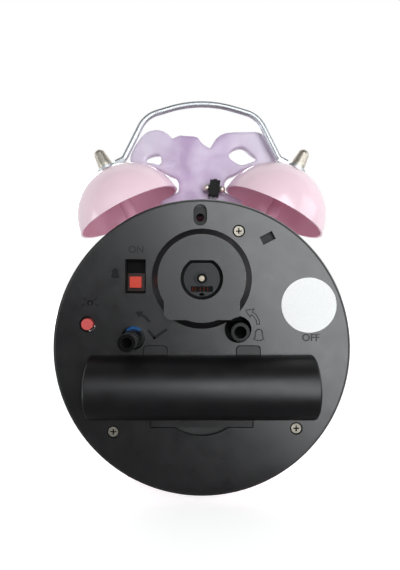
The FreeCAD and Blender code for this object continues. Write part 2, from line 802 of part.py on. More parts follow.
# Cover screws: pan heads with a cross, driven into the inner frame's posts
screws = []
for letter, (x, height) in zip("ABC", SCREWS):
    head_end = "screw_recess_depth"
    head_start = "screw_recess_depth - screw_head_thickness"
    head = cylinder("ScrewHead" + letter, "screw_head_radius", "screw_head_thickness", x, head_start, height)
    shank = cylinder("ScrewShank" + letter, "screw_shank_radius", "screw_length", x, head_end, height)
    slots = [
        block("ScrewSlotA" + letter, "screw_cross_length", "screw_cross_depth", "screw_cross_width",
              x, head_start, height),
        block("ScrewSlotB" + letter, "screw_cross_width", "screw_cross_depth", "screw_cross_length",
              x, head_start, height),
    ]
    screws.append(cut("Screw" + letter, fuse("ScrewBlank" + letter, [head, shank]), slots))
node(group("CoverScrews", screws), "cover_screws")

# Battery door: half-round shell with a lip, two hinge tabs and a latch strip
door = body("BatteryDoor")
door_shell = pad(door, "DoorRound", "-door_half", "2 * door_half", role="YZ_Plane", points=[
    ("door_centre + door_radius", "0"),
    ("door_centre", "-door_radius", "door_radius", 1),
    ("door_centre - door_radius", "0", "door_radius", 1),
])
door_edges = [f"Edge{index}" for index, edge in enumerate(door_shell.Shape.Edges, start=1)
              if isinstance(edge.Curve, Part.Circle)]
door_round = door.newObject("PartDesign::Fillet", "DoorRounding")
door_round.Base = (door_shell, door_edges)
bind(door_round, "Radius", "door_edge")
doc.recompute()
door_inner = "(door_radius - door_wall)"
door_hollow = sketch_on(door, "DoorHollowSketch", "YZ_Plane", "-door_half + door_wall")
outline(door_hollow, [
    (f"door_centre + {door_inner}", "overrun"),
    (f"door_centre + {door_inner}", "0"),
    ("door_centre", f"-{door_inner}", door_inner, 1),
    (f"door_centre - {door_inner}", "0", door_inner, 1),
    (f"door_centre - {door_inner}", "overrun"),
])
feature(door, "Pocket", "DoorHollow", door_hollow, "2 * (door_half - door_wall)", backwards=True)
lip_half = "opening_half - door_plate_gap"
lip_top = "opening_top - door_plate_gap"
lip_bottom = "opening_bottom + door_plate_gap"
pad(door, "DoorLip", "0", "door_lip_depth", rectangle(
    f"-({lip_half})", lip_bottom, lip_half, lip_top))
for name, middle in (("TabLeft", "-tab_centre"), ("TabRight", "tab_centre")):
    half = "(tab_half - door_plate_gap)"
    top = "(tab_top - door_plate_gap)"
    pad(door, name, "0", "door_plate", [
        (f"{middle} - {half}", lip_top),
        (f"{middle} - {half}", f"{top} - tab_corner"),
        (f"{middle} - {half} + tab_corner", top, "tab_corner", 1),
        (f"{middle} + {half} - tab_corner", top),
        (f"{middle} + {half}", f"{top} - tab_corner", "tab_corner", 1),
        (f"{middle} + {half}", lip_top),
    ])
pad(door, "LatchStrip", "0", "door_plate", rectangle(
    "-latch_half + door_plate_gap", "latch_bottom + door_plate_gap",
    "latch_half - door_plate_gap", lip_bottom))
pocket(door, "LipHollow", "-overrun", "door_lip_depth + 2 * overrun", rectangle(
    f"-({lip_half}) + door_lip_wall", f"{lip_bottom} + door_lip_wall",
    f"{lip_half} - door_lip_wall", f"{lip_top} - door_lip_wall"))
node(door, "battery_door")

# Battery cell lying across the tray, with its cap towards +X, between a spring and a leaf
cell_can = cylinder("CellCan", "cell_radius", "2 * cell_half", "-cell_half", "cell_depth", "door_centre",
                    ALONG_X)
cell_nub = cylinder("CellNub", "cell_nub_radius", "cell_nub_length", "cell_half", "cell_depth",
                    "door_centre", ALONG_X)
node(fuse("BatteryCell", [cell_can, cell_nub]), "battery_cell")
leaf_x = "cell_half + contact_room - contact_thickness / 2"
leaf = block("ContactLeaf", "contact_thickness", "2 * contact_half", "2 * contact_half",
             leaf_x, "cell_depth - contact_half", "door_centre")
bump = cylinder("ContactBump", "cell_nub_radius", "contact_room - contact_thickness - cell_nub_length",
                "cell_half + cell_nub_length", "cell_depth", "door_centre", ALONG_X)
node(fuse("BatteryContact", [leaf, bump]), "battery_contact")


def coil_spring(radius, wire, turns, length):
    """A round wire wound along +Z in quarter-turn arcs."""
    quarters = round(4 * turns)

    def place(step):
        angle = step * math.pi / 2
        return Vector(radius * math.cos(angle), radius * math.sin(angle), length * step / quarters)

    arcs = [Part.Arc(place(i), place(i + 0.5), place(i + 1)).toShape() for i in range(quarters)]
    section = Part.Wire(Part.makeCircle(wire, Vector(radius, 0, 0), Vector(0, 1, 0)))
    return Part.Wire(arcs).makePipeShell([section], True, False)


spring = doc.addObject("Part::Feature", "BatterySpring")
spring.Shape = coil_spring(value("spring_radius"), value("spring_wire"), value("spring_turns"),
                           value("spring_room - 2 * spring_wire"))
seat(spring, "-cell_half - spring_room + spring_wire", "cell_depth", "door_centre", ALONG_X)
node(spring, "battery_spring")


# Gears and fluted rods are closed outlines of straight flanks, extruded forward

def toothed(teeth, root, tip, root_share, tip_share, phase, start, thickness):
    """A toothed disc from a depth forward. The first tooth points along the phase angle."""
    pitch = 2 * math.pi / teeth
    points = []
    for index in range(teeth):
        middle = phase + index * pitch
        for radius, share in ((root, -root_share), (tip, -tip_share), (tip, tip_share), (root, root_share)):
            angle = middle + share * pitch
            points.append(Vector(radius * math.cos(angle), radius * math.sin(angle), start))
    face = Part.Face(Part.makePolygon(points + points[:1]))
    return face.extrude(Vector(0, 0, thickness))


def gear(teeth, module, phase, start, thickness, bore=0.0):
    """A gear wheel whose rear face lies at a depth. Texts are read from the sheet."""
    count = round(value(teeth))
    size = value(module)
    pitch_radius = size * count / 2
    wheel = toothed(count, pitch_radius - TOOTH_DROP_SHARE * size, pitch_radius + TOOTH_RISE_SHARE * size,
                    TOOTH_ROOT_SHARE, TOOTH_TIP_SHARE, phase, value(start), value(thickness))
    if bore:
        wheel = wheel.cut(Part.makeCylinder(bore, value(thickness), Vector(0, 0, value(start))))
    return wheel


def rod(radius, start, stop, bore=0.0):
    """A rod or tube along the depth."""
    solid = Part.makeCylinder(value(radius), value(stop) - value(start), Vector(0, 0, value(start)))
    if bore:
        solid = solid.cut(Part.makeCylinder(bore, value(stop) - value(start), Vector(0, 0, value(start))))
    return solid


def made(name, label, shapes, x="0", height="0"):
    """One piece fused from shapes that are drawn about their own axis, looking forward."""
    item = doc.addObject("Part::Feature", name)
    solid = shapes[0].multiFuse(shapes[1:]) if len(shapes) > 1 else shapes[0]
    item.Shape = solid.removeSplitter() if len(shapes) > 1 else solid
    seat(item, x, "0", height)
    return node(item, label)


HALF_TURN = math.pi
time_way = math.atan2(value("time_height"), value("time_x"))
alarm_way = math.atan2(value("alarm_height"), value("alarm_x"))
motion_way = math.radians(value("motion_angle"))
slack = value("running_gap")

made("SecondArbor", "second_arbor", [
    gear("second_teeth", "second_module", 0.0, "second_layer", "second_wheel_thickness"),
    rod("second_arbor_radius", "second_layer", "second_hand_depth + hand_thickness"),
])
minute_bore = value("second_arbor_radius") + slack
made("MinuteWheel", "minute_wheel", [
    gear("minute_teeth", "time_module", time_way, "minute_layer", "minute_wheel_thickness", minute_bore),
    gear("minute_pinion_teeth", "motion_module", motion_way,
         "minute_layer + minute_wheel_thickness", "motion_layer + pinion_thickness - minute_layer"
         " - minute_wheel_thickness", minute_bore),
    rod("minute_tube_radius", "minute_layer", "minute_hand_depth + hand_thickness", minute_bore),
])
hour_bore = value("minute_tube_radius") + slack
made("HourWheel", "hour_wheel", [
    gear("hour_teeth", "hour_module", motion_way + math.pi / value("hour_teeth"),
         "hour_layer", "pinion_thickness", hour_bore),
    rod("hour_tube_radius", "hour_layer", "hour_hand_depth + hand_thickness", hour_bore),
])
alarm_bore = value("hour_tube_radius") + slack
made("AlarmWheel", "alarm_wheel", [
    gear("alarm_teeth", "alarm_module", alarm_way, "alarm_layer", "alarm_wheel_thickness", alarm_bore),
    rod("alarm_tube_radius", "alarm_layer", "alarm_hand_depth + hand_thickness", alarm_bore),
])
pin_bore = value("pin_radius") + slack
motion_back = motion_way + HALF_TURN
made("MotionWheel", "motion_wheel", [
    gear("motion_teeth", "motion_module", motion_back + math.pi / value("motion_teeth"),
         "motion_layer", "pinion_thickness", pin_bore),
    gear("motion_pinion_teeth", "hour_module", motion_back,
         "motion_layer + pinion_thickness", "hour_layer - motion_layer", pin_bore),
], "motion_distance * cos(motion_angle)", "motion_distance * sin(motion_angle)")
idler_shift = HALF_TURN + math.pi / value("idler_teeth")
IDLER_X = "idler_distance * time_x / time_distance"
IDLER_HEIGHT = "idler_distance * time_height / time_distance"
made("IdlerWheel", "idler_wheel", [
    gear("idler_teeth", "time_module", time_way + idler_shift, "minute_layer",
         "minute_wheel_thickness", pin_bore),
], IDLER_X, IDLER_HEIGHT)
made("TimeShaft", "time_shaft", [
    gear("time_teeth", "time_module", time_way + HALF_TURN, "minute_layer", "minute_wheel_thickness"),
    rod("shaft_radius", "-time_knob_reach + socket_depth + knob_floor", "minute_layer"
        " + minute_wheel_thickness"),
], "time_x", "time_height")
alarm_shift = HALF_TURN + math.pi / value("alarm_pinion_teeth")
made("AlarmShaft", "alarm_shaft", [
    gear("alarm_pinion_teeth", "alarm_module", alarm_way + alarm_shift, "alarm_layer",
         "alarm_wheel_thickness"),
    rod("shaft_radius", "-alarm_knob_reach + socket_depth + knob_floor",
        "alarm_layer + alarm_wheel_thickness"),
], "alarm_x", "alarm_height")


def knob(name, label, radius, reach, socket, x, height):
    """A fluted push-on knob with a deep socket in its tip."""
    outer = value(radius)
    tip = value(f"-{reach}")
    floor = value(f"socket_depth + knob_floor - {reach}")
    blank = toothed(round(value("knob_flutes")), outer - value("knob_flute_depth"), outer,
                    FLUTE_ROOT_SHARE, FLUTE_TIP_SHARE, 0.0, tip, value("knob_inner_end") - tip)
    deep = Part.makeCylinder(value(socket), value("socket_depth"), Vector(0, 0, tip))
    bore = Part.makeCylinder(value("shaft_radius + press_gap"), value("knob_inner_end") - floor,
                             Vector(0, 0, floor))
    made(name, label, [blank.cut(deep).cut(bore)], x, height)


knob("TimeKnob", "time_knob", "time_knob_radius", "time_knob_reach", "time_socket_radius",
     "time_x", "time_height")
knob("AlarmKnob", "alarm_knob", "alarm_knob_radius", "alarm_knob_reach", "alarm_socket_radius",
     "alarm_x", "alarm_height")
collar = rod("collar_radius", "knob_inner_end", "knob_inner_end + collar_thickness",
             value("shaft_radius + press_gap"))
made("TimeCollar", "time_collar", [collar], "time_x", "time_height")


def hand(name, label, length, half_width, tail, tube, depth, angle):
    """A tapered hand with a round hub, its angle clockwise from the top as seen from the dial."""
    thickness = value("hand_thickness")
    start = Vector(0, 0, value(depth))
    turn = Rotation(Vector(0, 0, 1), -value(angle))
    wide = value(half_width)
    tip = value("hand_tip_half")
    ends = [(-wide, -value(tail)), (wide, -value(tail)), (tip, value(length)), (-tip, value(length))]
    corners = [start + turn.multVec(Vector(x, y, 0)) for x, y in ends]
    blade = Part.Face(Part.makePolygon(corners + corners[:1])).extrude(Vector(0, 0, thickness))
    boss = Part.makeCylinder(value(f"{tube} + hand_hub_extra"), thickness, start)
    bore = Part.makeCylinder(value(f"{tube} + press_gap"), thickness, start)
    made(name, label, [blade.fuse(boss).cut(bore)])


hand("AlarmHand", "alarm_hand", "alarm_length", "alarm_half_width", "0", "alarm_tube_radius",
     "alarm_hand_depth", "alarm_angle")
hand("HourHand", "hour_hand", "hour_length", "hour_half_width", "0", "hour_tube_radius",
     "hour_hand_depth", "hour_angle")
hand("MinuteHand", "minute_hand", "minute_length", "minute_half_width", "0", "minute_tube_radius",
     "minute_hand_depth", "minute_angle")
hand("SecondHand", "second_hand", "second_length", "second_half_width", "second_tail",
     "second_arbor_radius", "second_hand_depth", "second_angle")

# Movement: a box with two moulded pins, and a lid with the bush that passes the dial
movement = body("MovementRear")
movement_left = "movement_x - movement_half_width"
movement_right = "movement_x + movement_half_width"
pad(movement, "MovementBox", "movement_rear", "lid_rear - movement_rear", rectangle(
    movement_left, "movement_bottom", movement_right, "movement_top"))
pocket(movement, "MovementHollow", "movement_inner", "lid_rear", rectangle(
    f"{movement_left} + movement_wall", "movement_bottom + movement_wall",
    f"{movement_right} - movement_wall", "movement_top - movement_wall"))
pocket(movement, "MovementHoles", "movement_rear - overrun", "movement_wall + 2 * overrun", rounds=[
    ("time_x", "time_height", "shaft_radius + running_gap"),
    ("alarm_x", "alarm_height", "shaft_radius + running_gap"),
])
pad(movement, "MotionPin", "movement_rear + movement_wall / 2", "hour_layer + pinion_thickness"
    " - movement_rear - movement_wall / 2",
    rounds=[("motion_distance * cos(motion_angle)", "motion_distance * sin(motion_angle)", "pin_radius")])
pad(movement, "IdlerPin", "movement_rear + movement_wall / 2", "minute_layer + minute_wheel_thickness"
    " - movement_rear - movement_wall / 2", rounds=[(IDLER_X, IDLER_HEIGHT, "pin_radius")])
node(movement, "movement_rear")
lid = body("MovementFront")
pad(lid, "MovementLid", "lid_rear", "movement_wall", rectangle(
    movement_left, "movement_bottom", movement_right, "movement_top"))
pad(lid, "MovementBush", "lid_rear", "bush_front - lid_rear", rounds=[("0", "0", "bush_radius")])
pocket(lid, "MovementBore", "lid_rear - overrun", "bush_front - lid_rear + 2 * overrun",
       rounds=[("0", "0", "alarm_tube_radius + running_gap")])
node(lid, "movement_front")
board = block("CircuitBoard", "2 * board_half_width", "board_thickness", "board_top - board_bottom",
              "board_x", "board_depth", "(board_top + board_bottom) / 2")
node(board, "circuit_board")
coil_depth = "board_depth - coil_cheek_radius"
coil_parts = [
    cylinder("CoilWinding", "coil_radius", "2 * coil_half", "coil_x - coil_half", coil_depth,
             "coil_height", ALONG_X),
    cylinder("CoilCheekA", "coil_cheek_radius", "coil_cheek", "coil_x - coil_half", coil_depth,
             "coil_height", ALONG_X),
    cylinder("CoilCheekB", "coil_cheek_radius", "coil_cheek", "coil_x + coil_half - coil_cheek", coil_depth,
             "coil_height", ALONG_X),
]
node(fuse("DriveCoil", coil_parts), "drive_coil")
nut = cut("DialNut", cylinder("NutDisc", "nut_radius", "nut_thickness", depth="dial_front"),
          [cylinder("NutBore", "bush_radius + press_gap", "nut_thickness", depth="dial_front")])
node(nut, "dial_nut")

# Inner frame, dial, ring, lens and bezel
CREST_SCREWS = ["-crest_screw_half", "crest_screw_half"]
frame = body("InnerFrame")
pad(frame, "FramePlate", "post_end", "frame_thickness", rounds=[("0", "0", "frame_radius")])
pad(frame, "FramePosts", "cover_wall", "post_end - cover_wall",
    rounds=[(x, height, "post_radius") for x, height in SCREWS])
pocket(frame, "PostBores", "cover_wall - overrun", "post_bore_depth + overrun",
       rounds=[(x, height, "screw_shank_radius + press_gap") for x, height in SCREWS])
pocket(frame, "FrameHoles", "post_end - overrun", "frame_thickness + 2 * overrun", rounds=[
    ("0", "0", "bush_radius + fit_gap"),
    ("lamp_x", "lamp_height", "lamp_radius + fit_gap"),
] + [(x, "case_bore", "crest_screw_head_radius + crest_screw_head") for x in CREST_SCREWS])
node(frame, "inner_frame")
dial = cut("Dial", cylinder("DialDisc", "ring_radius", "dial_thickness", depth="dial_rear"),
           [cylinder("DialHole", "bush_radius + fit_gap", "dial_thickness", depth="dial_rear")])
node(dial, "dial")
lamp_parts = [
    cylinder("LampBulb", "lamp_radius", "lamp_length", "lamp_x", "dial_rear - lamp_length", "lamp_height"),
    cylinder("LampFlange", "lamp_flange_radius", "lamp_flange", "lamp_x", "post_end - lamp_flange",
             "lamp_height"),
]
node(fuse("DialLamp", lamp_parts), "dial_lamp")
ring = body("DialRing")
revolve(ring, "RingTurn", [
    ("ring_radius", "dial_front"),
    ("ring_radius", "lens_rear"),
    ("ring_throat", "lens_rear"),
    ("ring_throat", "lens_rear - ring_land"),
    ("ring_foot", "dial_front"),
])
node(ring, "dial_ring")
node(cylinder("Lens", "lens_radius", "lens_thickness", depth="lens_rear"), "lens")
bezel = body("FrontBezel")
seat_radius = "(lens_radius + fit_gap)"
revolve(bezel, "BezelTurn", [
    ("case_radius + fit_gap", "bezel_rear"),
    ("bezel_radius - bezel_edge", "bezel_rear"),
    ("bezel_radius", "bezel_rear + bezel_edge"),
    ("bezel_radius", "case_depth - bezel_round"),
    ("bezel_radius - bezel_round", "case_depth", "bezel_round", -1),
    ("bezel_radius - bezel_round - bezel_flat", "case_depth"),
    ("bezel_opening", "case_depth - bezel_lip / 2"),
    ("bezel_opening", "lens_rear + lens_thickness + press_gap"),
    (seat_radius, "lens_rear + lens_thickness + press_gap"),
    (seat_radius, "drum_front + fit_gap"),
    ("case_radius + fit_gap", "drum_front + fit_gap"),
])
node(bezel, "front_bezel")

# Case drum, with holes for the bell studs and the crest screws and a slot for the hammer


def bell_frame(item, side, rise="0"):
    """Stands an item on the drum along a bell's axis. Side is 1 for the right bell, -1 for the left."""
    x = f"{side} * (case_radius * sin(bell_polar) + ({rise}) * sin(bell_tilt))"
    height = f"case_radius * cos(bell_polar) + ({rise}) * cos(bell_tilt)"
    turn = Rotation(Vector(0, side, 0), value("bell_tilt"))
    seat(item, x, "bell_depth", height, turn)
    bind(item, "Placement.Rotation.Angle", "bell_tilt")
    return item


def foot_frame(item, side):
    """Stands an item on the drum along a front foot's axis, pointing down and out."""
    turn = Rotation(Vector(0, side, 0), 180 - value("foot_polar"))
    seat(item, f"{side} * case_radius * sin(foot_polar)", "foot_depth",
         "-case_radius * cos(foot_polar)", turn)
    bind(item, "Placement.Rotation.Angle", "180 - foot_polar")
    return item


def standing_rod(name, radius, length, side, rise):
    item = doc.addObject("Part::Cylinder", name)
    bind(item, "Radius", radius)
    bind(item, "Height", length)
    return bell_frame(item, side, rise)


CREST_MIDDLE = "crest_depth + crest_thickness / 2"
drum = body("DrumTurn")
revolve(drum, "DrumRing", [
    ("case_bore", "flange_thickness"),
    ("case_radius", "flange_thickness"),
    ("case_radius", "drum_front"),
    ("case_bore", "drum_front"),
])
drum_tools = [
    standing_rod("StudHoleLeft", "stud_radius + fit_gap", "4 * case_wall", -1, "-2 * case_wall"),
    standing_rod("StudHoleRight", "stud_radius + fit_gap", "4 * case_wall", 1, "-2 * case_wall"),
    block("HammerSlot", "2 * hammer_slot_half", "2 * hammer_slot_half_depth", "4 * overrun + case_wall",
          "0", "arm_depth + arm_thickness / 2 - hammer_slot_half_depth", "case_radius - case_wall / 2"),
]
for index, x in enumerate(CREST_SCREWS):
    drum_tools.append(cylinder(f"CrestHole{index}", "screw_shank_radius + fit_gap", "6 * case_wall", x,
                               CREST_MIDDLE, "case_radius - 4 * case_wall", UPRIGHT))
node(cut("CaseDrum", drum, drum_tools), "case_drum")

# Bells, each on a sleeve round a stud that runs from a nut in the case to a cap nut


def bell(name, label, side):
    shell = bell_frame(doc.addObject("PartDesign::Body", name), side)
    revolve(shell, name + "Shell", [
        ("bell_hole", "bell_top"),
        ("bell_hole", "bell_inner_top"),
        ("bell_inner_rim", "bell_rise", "bell_inner_sphere", 1),
        ("bell_radius", "bell_rise"),
        ("bell_seat_radius", "bell_top", "bell_sphere", -1),
    ])
    node(shell, label)


def stud_parts(side):
    """One side's stud, sleeve, case nut and cap nut."""
    tag = "Right" if side > 0 else "Left"
    nut_start = "-(case_wall + stud_nut_gap + stud_nut_thickness)"
    stud_start = f"{nut_start} - stud_tail"
    stud_end = "eyelet_top + cap_nut_bore_length - fit_gap"
    stud = standing_rod("Stud" + tag, "stud_radius", f"{stud_end} - ({stud_start})", side, stud_start)
    sleeve_length = "sleeve_top - 2 * sleeve_seat_gap"
    sleeve = cut("Sleeve" + tag,
                 standing_rod("SleeveRod" + tag, "sleeve_radius", sleeve_length, side, "sleeve_seat_gap"),
                 [standing_rod("SleeveBore" + tag, "stud_radius + press_gap", sleeve_length, side,
                               "sleeve_seat_gap")])
    prism = doc.addObject("Part::Prism", "NutPrism" + tag)
    prism.Polygon = 6
    bind(prism, "Circumradius", "stud_nut_half / cos(30)")
    bind(prism, "Height", "stud_nut_thickness")
    bell_frame(prism, side, nut_start)
    case_nut = cut("CaseNut" + tag, prism, [
        standing_rod("NutHole" + tag, "stud_radius + press_gap", "stud_nut_thickness", side, nut_start)])
    cap = bell_frame(doc.addObject("PartDesign::Body", "CapNut" + tag), side, "eyelet_top")
    nose_rise = "(cap_nut_length - cap_nut_shoulder)"
    nose = f"(cap_nut_neck_radius^2 + {nose_rise}^2) / (2 * {nose_rise})"
    revolve(cap, "CapNutTurn" + tag, [
        ("stud_radius + press_gap", "0"),
        ("cap_nut_radius", "0"),
        ("cap_nut_radius", "cap_nut_skirt"),
        ("cap_nut_neck_radius", "cap_nut_shoulder"),
        ("0", "cap_nut_length", nose, -1),
        ("0", "cap_nut_bore_length"),
        ("stud_radius + press_gap", "cap_nut_bore_length"),
    ])
    return stud, sleeve, case_nut, cap


bell("BellRight", "bell_right", 1)
bell("BellLeft", "bell_left", -1)
fasteners = zip(*(stud_parts(side) for side in (-1, 1)))
for label, pair in zip(("bell_studs", "bell_sleeves", "stud_nuts", "cap_nuts"), fasteners):
    node(group(label.title().replace("_", ""), list(pair)), label)

# Handle: one steel wire between two flattened eyelets that the cap nuts clamp on the bells


def rounded_path(corners, radii):
    """A wire of straight runs joined by tangent arcs at the inner corners."""
    edges = []
    start = corners[0]
    for before, corner, after, radius in zip(corners, corners[1:], corners[2:], radii):
        back = (before - corner).normalize()
        onward = (after - corner).normalize()
        turn = math.pi - back.getAngle(onward)
        run = radius * math.tan(turn / 2)
        first = corner + back * run
        last = corner + onward * run
        middle_way = (back + onward).normalize()
        middle = corner + middle_way * (radius / math.cos(turn / 2) - radius)
        edges.append(Part.LineSegment(start, first).toShape())
        edges.append(Part.Arc(first, middle, last).toShape())
        start = last
    edges.append(Part.LineSegment(start, corners[-1]).toShape())
    return Part.Wire(edges)


def handle_solid():
    tilt = math.radians(value("bell_tilt"))
    up = Vector(math.sin(tilt), 0, math.cos(tilt))
    inward = Vector(-math.cos(tilt), 0, math.sin(tilt))
    foot = Vector(value("case_radius * sin(bell_polar)"), 0, value("case_radius * cos(bell_polar)"))
    thickness = value("eyelet_thickness")
    middle = foot + up * value("bell_top + wire_radius + wire_bell_gap")
    right = [
        middle + inward * value("handle_wire_start"),
        middle + inward * value("handle_kink"),
        Vector(value("shoulder_x"), 0, value("shoulder_height")),
    ]
    peak = Vector(0, 0, value("peak_height"))
    left = [Vector(-p.x, 0, p.z) for p in reversed(right)]
    bends = [value("handle_kink_radius"), value("shoulder_radius")]
    path = rounded_path(right + [peak] + left, bends + [value("peak_radius")] + bends[::-1])
    radius = value("wire_radius")
    section = Part.Wire(Part.makeCircle(radius, right[0], inward))
    wire = path.makePipeShell([section], True, False)
    ends = []
    for side in (1, -1):
        eyelet = Part.makeCylinder(value("eyelet_radius"), thickness)
        length = value("handle_kink")
        half = value("eyelet_tongue_half")
        corner = Vector(-length if side > 0 else 0, -half, 0)
        tongue = Part.makeBox(length, 2 * half, thickness, corner)
        flat = eyelet.fuse(tongue).cut(Part.makeCylinder(value("bell_hole"), thickness))
        spot = foot + up * value("bell_top")
        flat.Placement = Placement(Vector(side * spot.x, 0, spot.z),
                                   Rotation(Vector(0, side, 0), value("bell_tilt")))
        ends.append(flat)
    return wire.multiFuse(ends)


handle = doc.addObject("Part::Feature", "Handle")
handle.Shape = handle_solid()
node(seat(handle, "0", "bell_depth", "0", UPRIGHT), "handle")

# Crest: a ribbon bow cut from a thick sheet, standing on the drum between the bells


def crest_points(table):
    base = value("crest_base_height")
    rise = value("crest_top_height") - base
    half = value("crest_half_width")
    return [Vector(across * half, 0, base + up * rise) for across, up in table]


def smooth_sheet(table, forward):
    """A sheet inside a smooth closed line through a table's points."""
    spline = Part.BSplineCurve()
    spline.interpolate(crest_points(table), PeriodicFlag=True)
    return Part.Face(Part.Wire(spline.toShape())).extrude(forward)


def crest_solid():
    thickness = value("crest_thickness")
    middle = -thickness / 2
    forward = Vector(0, -thickness, 0)
    base = value("crest_base_height")
    neck = value("bell_rim_x - crest_bell_gap")
    flare = neck + value("crest_flare")
    shift = value("crest_x")
    neck_side = [(flare, value("crest_foot_height")), (flare, value("crest_flare_end")),
                 (neck, value("crest_flare_top")), (neck, base + value("crest_neck_rise"))]
    neck_left = [Vector(-x - shift, 0, height) for x, height in neck_side]
    neck_right = [Vector(x - shift, 0, height) for x, height in reversed(neck_side)]
    corners = neck_left + crest_points(CREST_BODY_SHARES) + neck_right
    shapes = []
    bow_loops = ((LOOP_RIGHT_SHARES, HOLE_RIGHT_SHARES), (LOOP_LEFT_SHARES, HOLE_LEFT_SHARES))
    for loop_shares, hole_shares in bow_loops:
        loop = smooth_sheet(loop_shares, forward)
        rims = [e for e in loop.Edges if e.BoundBox.YLength < value("press_gap")]
        rounded = loop.makeFillet(value("crest_edge"), rims)
        shapes.append(rounded.cut(smooth_sheet(hole_shares, forward)))
    knot = Part.makeSphere(1.0)
    scale = FreeCAD.Matrix()
    scale.scale(value("knot_half_width"), thickness / 2 + value("knot_rise"), value("knot_half_height"))
    knot = knot.transformGeometry(scale)
    knot.translate(Vector(value("knot_x - crest_x"), middle, value("knot_height")))
    neck_sheet = Part.Face(Part.makePolygon(corners + corners[:1])).extrude(forward)
    solid = neck_sheet.multiFuse(shapes + [knot])
    core_start = Vector(-shift, thickness, 0)
    core = Part.makeCylinder(value("drum_seat"), 4 * thickness, core_start, Vector(0, -1, 0))
    solid = solid.cut(core)
    for side in (-1, 1):
        foot = Vector(side * value("crest_screw_half") - shift, middle, base - value("overrun"))
        solid = solid.cut(Part.makeCylinder(value("screw_shank_radius + press_gap"),
                                            value("crest_screw_length"), foot))
    return solid


crest = doc.addObject("Part::Feature", "Crest")
crest.Shape = crest_solid()
node(seat(crest, "crest_x", "crest_depth", "0", UPRIGHT), "crest")
crest_screws = []
for index, x in enumerate(CREST_SCREWS):
    head_top = f"sqrt(case_bore^2 - (abs({x}) + crest_screw_head_radius)^2) - press_gap"
    head = cylinder(f"CrestScrewHead{index}", "crest_screw_head_radius", "crest_screw_head", x,
                    CREST_MIDDLE, f"{head_top} - crest_screw_head", UPRIGHT)
    shank = cylinder(f"CrestScrewShank{index}", "screw_shank_radius",
                     "crest_screw_length - fit_gap - overrun", x, CREST_MIDDLE, head_top, UPRIGHT)
    crest_screws.append(fuse(f"CrestScrew{index}", [head, shank]))
node(group("CrestScrews", crest_screws), "crest_screws")

# Feet: two turned pegs under the front, cut level, and a stud under the rear
feet = []
for side in (-1, 1):
    tag = "Right" if side > 0 else "Left"
    peg = foot_frame(doc.addObject("PartDesign::Body", "FootPeg" + tag), side)
    peg_length = "(axis_height / cos(foot_polar) - case_radius + foot_tip_radius)"
    revolve(peg, "FootTurn" + tag, [
        ("0", "foot_gap"),
        ("foot_radius", "foot_gap"),
        ("foot_radius", "foot_gap + foot_collar"),
        ("foot_tip_radius", peg_length),
        ("0", peg_length),
    ])
    level = block("FootLevel" + tag, "8 * foot_radius", "4 * foot_radius", "axis_height / 2",
                  f"{side} * case_radius * sin(foot_polar)", "foot_depth - 2 * foot_radius",
                  "-axis_height - axis_height / 4")
    feet.append(cut("Foot" + tag, peg, [level]))
node(group("FrontFeet", feet), "front_feet")
rear_foot = cylinder("RearFoot", "rear_foot_radius", "axis_height - case_radius - foot_gap", "0",
                     "rear_foot_depth", "-axis_height", UPRIGHT)
node(rear_foot, "rear_foot")

# Alarm switch: a housing behind the window, and the red slider
housing = body("SwitchBody")
pad(housing, "SwitchBlock", "cover_wall", "switch_thickness", rectangle(
    "switch_x - switch_half_width", "switch_height - switch_half_height",
    "switch_x + switch_half_width", "switch_height + switch_half_height"))
pocket(housing, "SwitchChannel", "0", "plate_depth + slider_plate_thickness + fit_gap", rectangle(
    "switch_x - slider_plate_half_width - fit_gap",
    "slider_height - slider_plate_half_height - 2 * fit_gap",
    "switch_x + slider_plate_half_width + fit_gap",
    "slider_height + slider_plate_half_height + slider_travel + 2 * fit_gap"))
node(housing, "alarm_switch_body")
slider_parts = [
    block("SliderPlate", "2 * slider_plate_half_width", "slider_plate_thickness",
          "2 * slider_plate_half_height", "switch_x", "plate_depth", "slider_height"),
    block("SliderNib", "2 * slider_half_width", "plate_depth - slider_recess + slider_plate_thickness / 2",
          "2 * slider_half_height", "switch_x", "slider_recess", "slider_height"),
]
node(fuse("AlarmSlider", slider_parts), "alarm_slider")

# Light button and the small switch behind it
flange_depth = "cover_wall + fit_gap"
button_parts = [
    cylinder("ButtonCap", "button_radius", f"button_rise + {flange_depth} + button_flange_thickness / 2",
             "button_x", "-button_rise", "button_height"),
    cylinder("ButtonFlange", "button_flange_radius", "button_flange_thickness",
             "button_x", flange_depth, "button_height"),
]
node(fuse("LightButton", button_parts), "light_button")
switch_depth = f"{flange_depth} + button_flange_thickness + button_travel + button_switch_gap"
switch_parts = [
    block("SwitchCube", "2 * button_switch_half",
          f"button_boss_end - button_board_thickness / 2 - ({switch_depth})",
          "2 * button_switch_half", "button_x", switch_depth, "button_height"),
    cylinder("SwitchBoard", "button_boss_radius - button_boss_wall - fit_gap", "button_board_thickness",
             "button_x", "button_boss_end - button_board_thickness", "button_height"),
]
node(fuse("ButtonSwitch", switch_parts), "button_switch")
label_disc = cylinder("RoundLabel", "label_radius", "label_thickness", "label_x", "-label_thickness",
                      "label_height")
node(label_disc, "round_label")

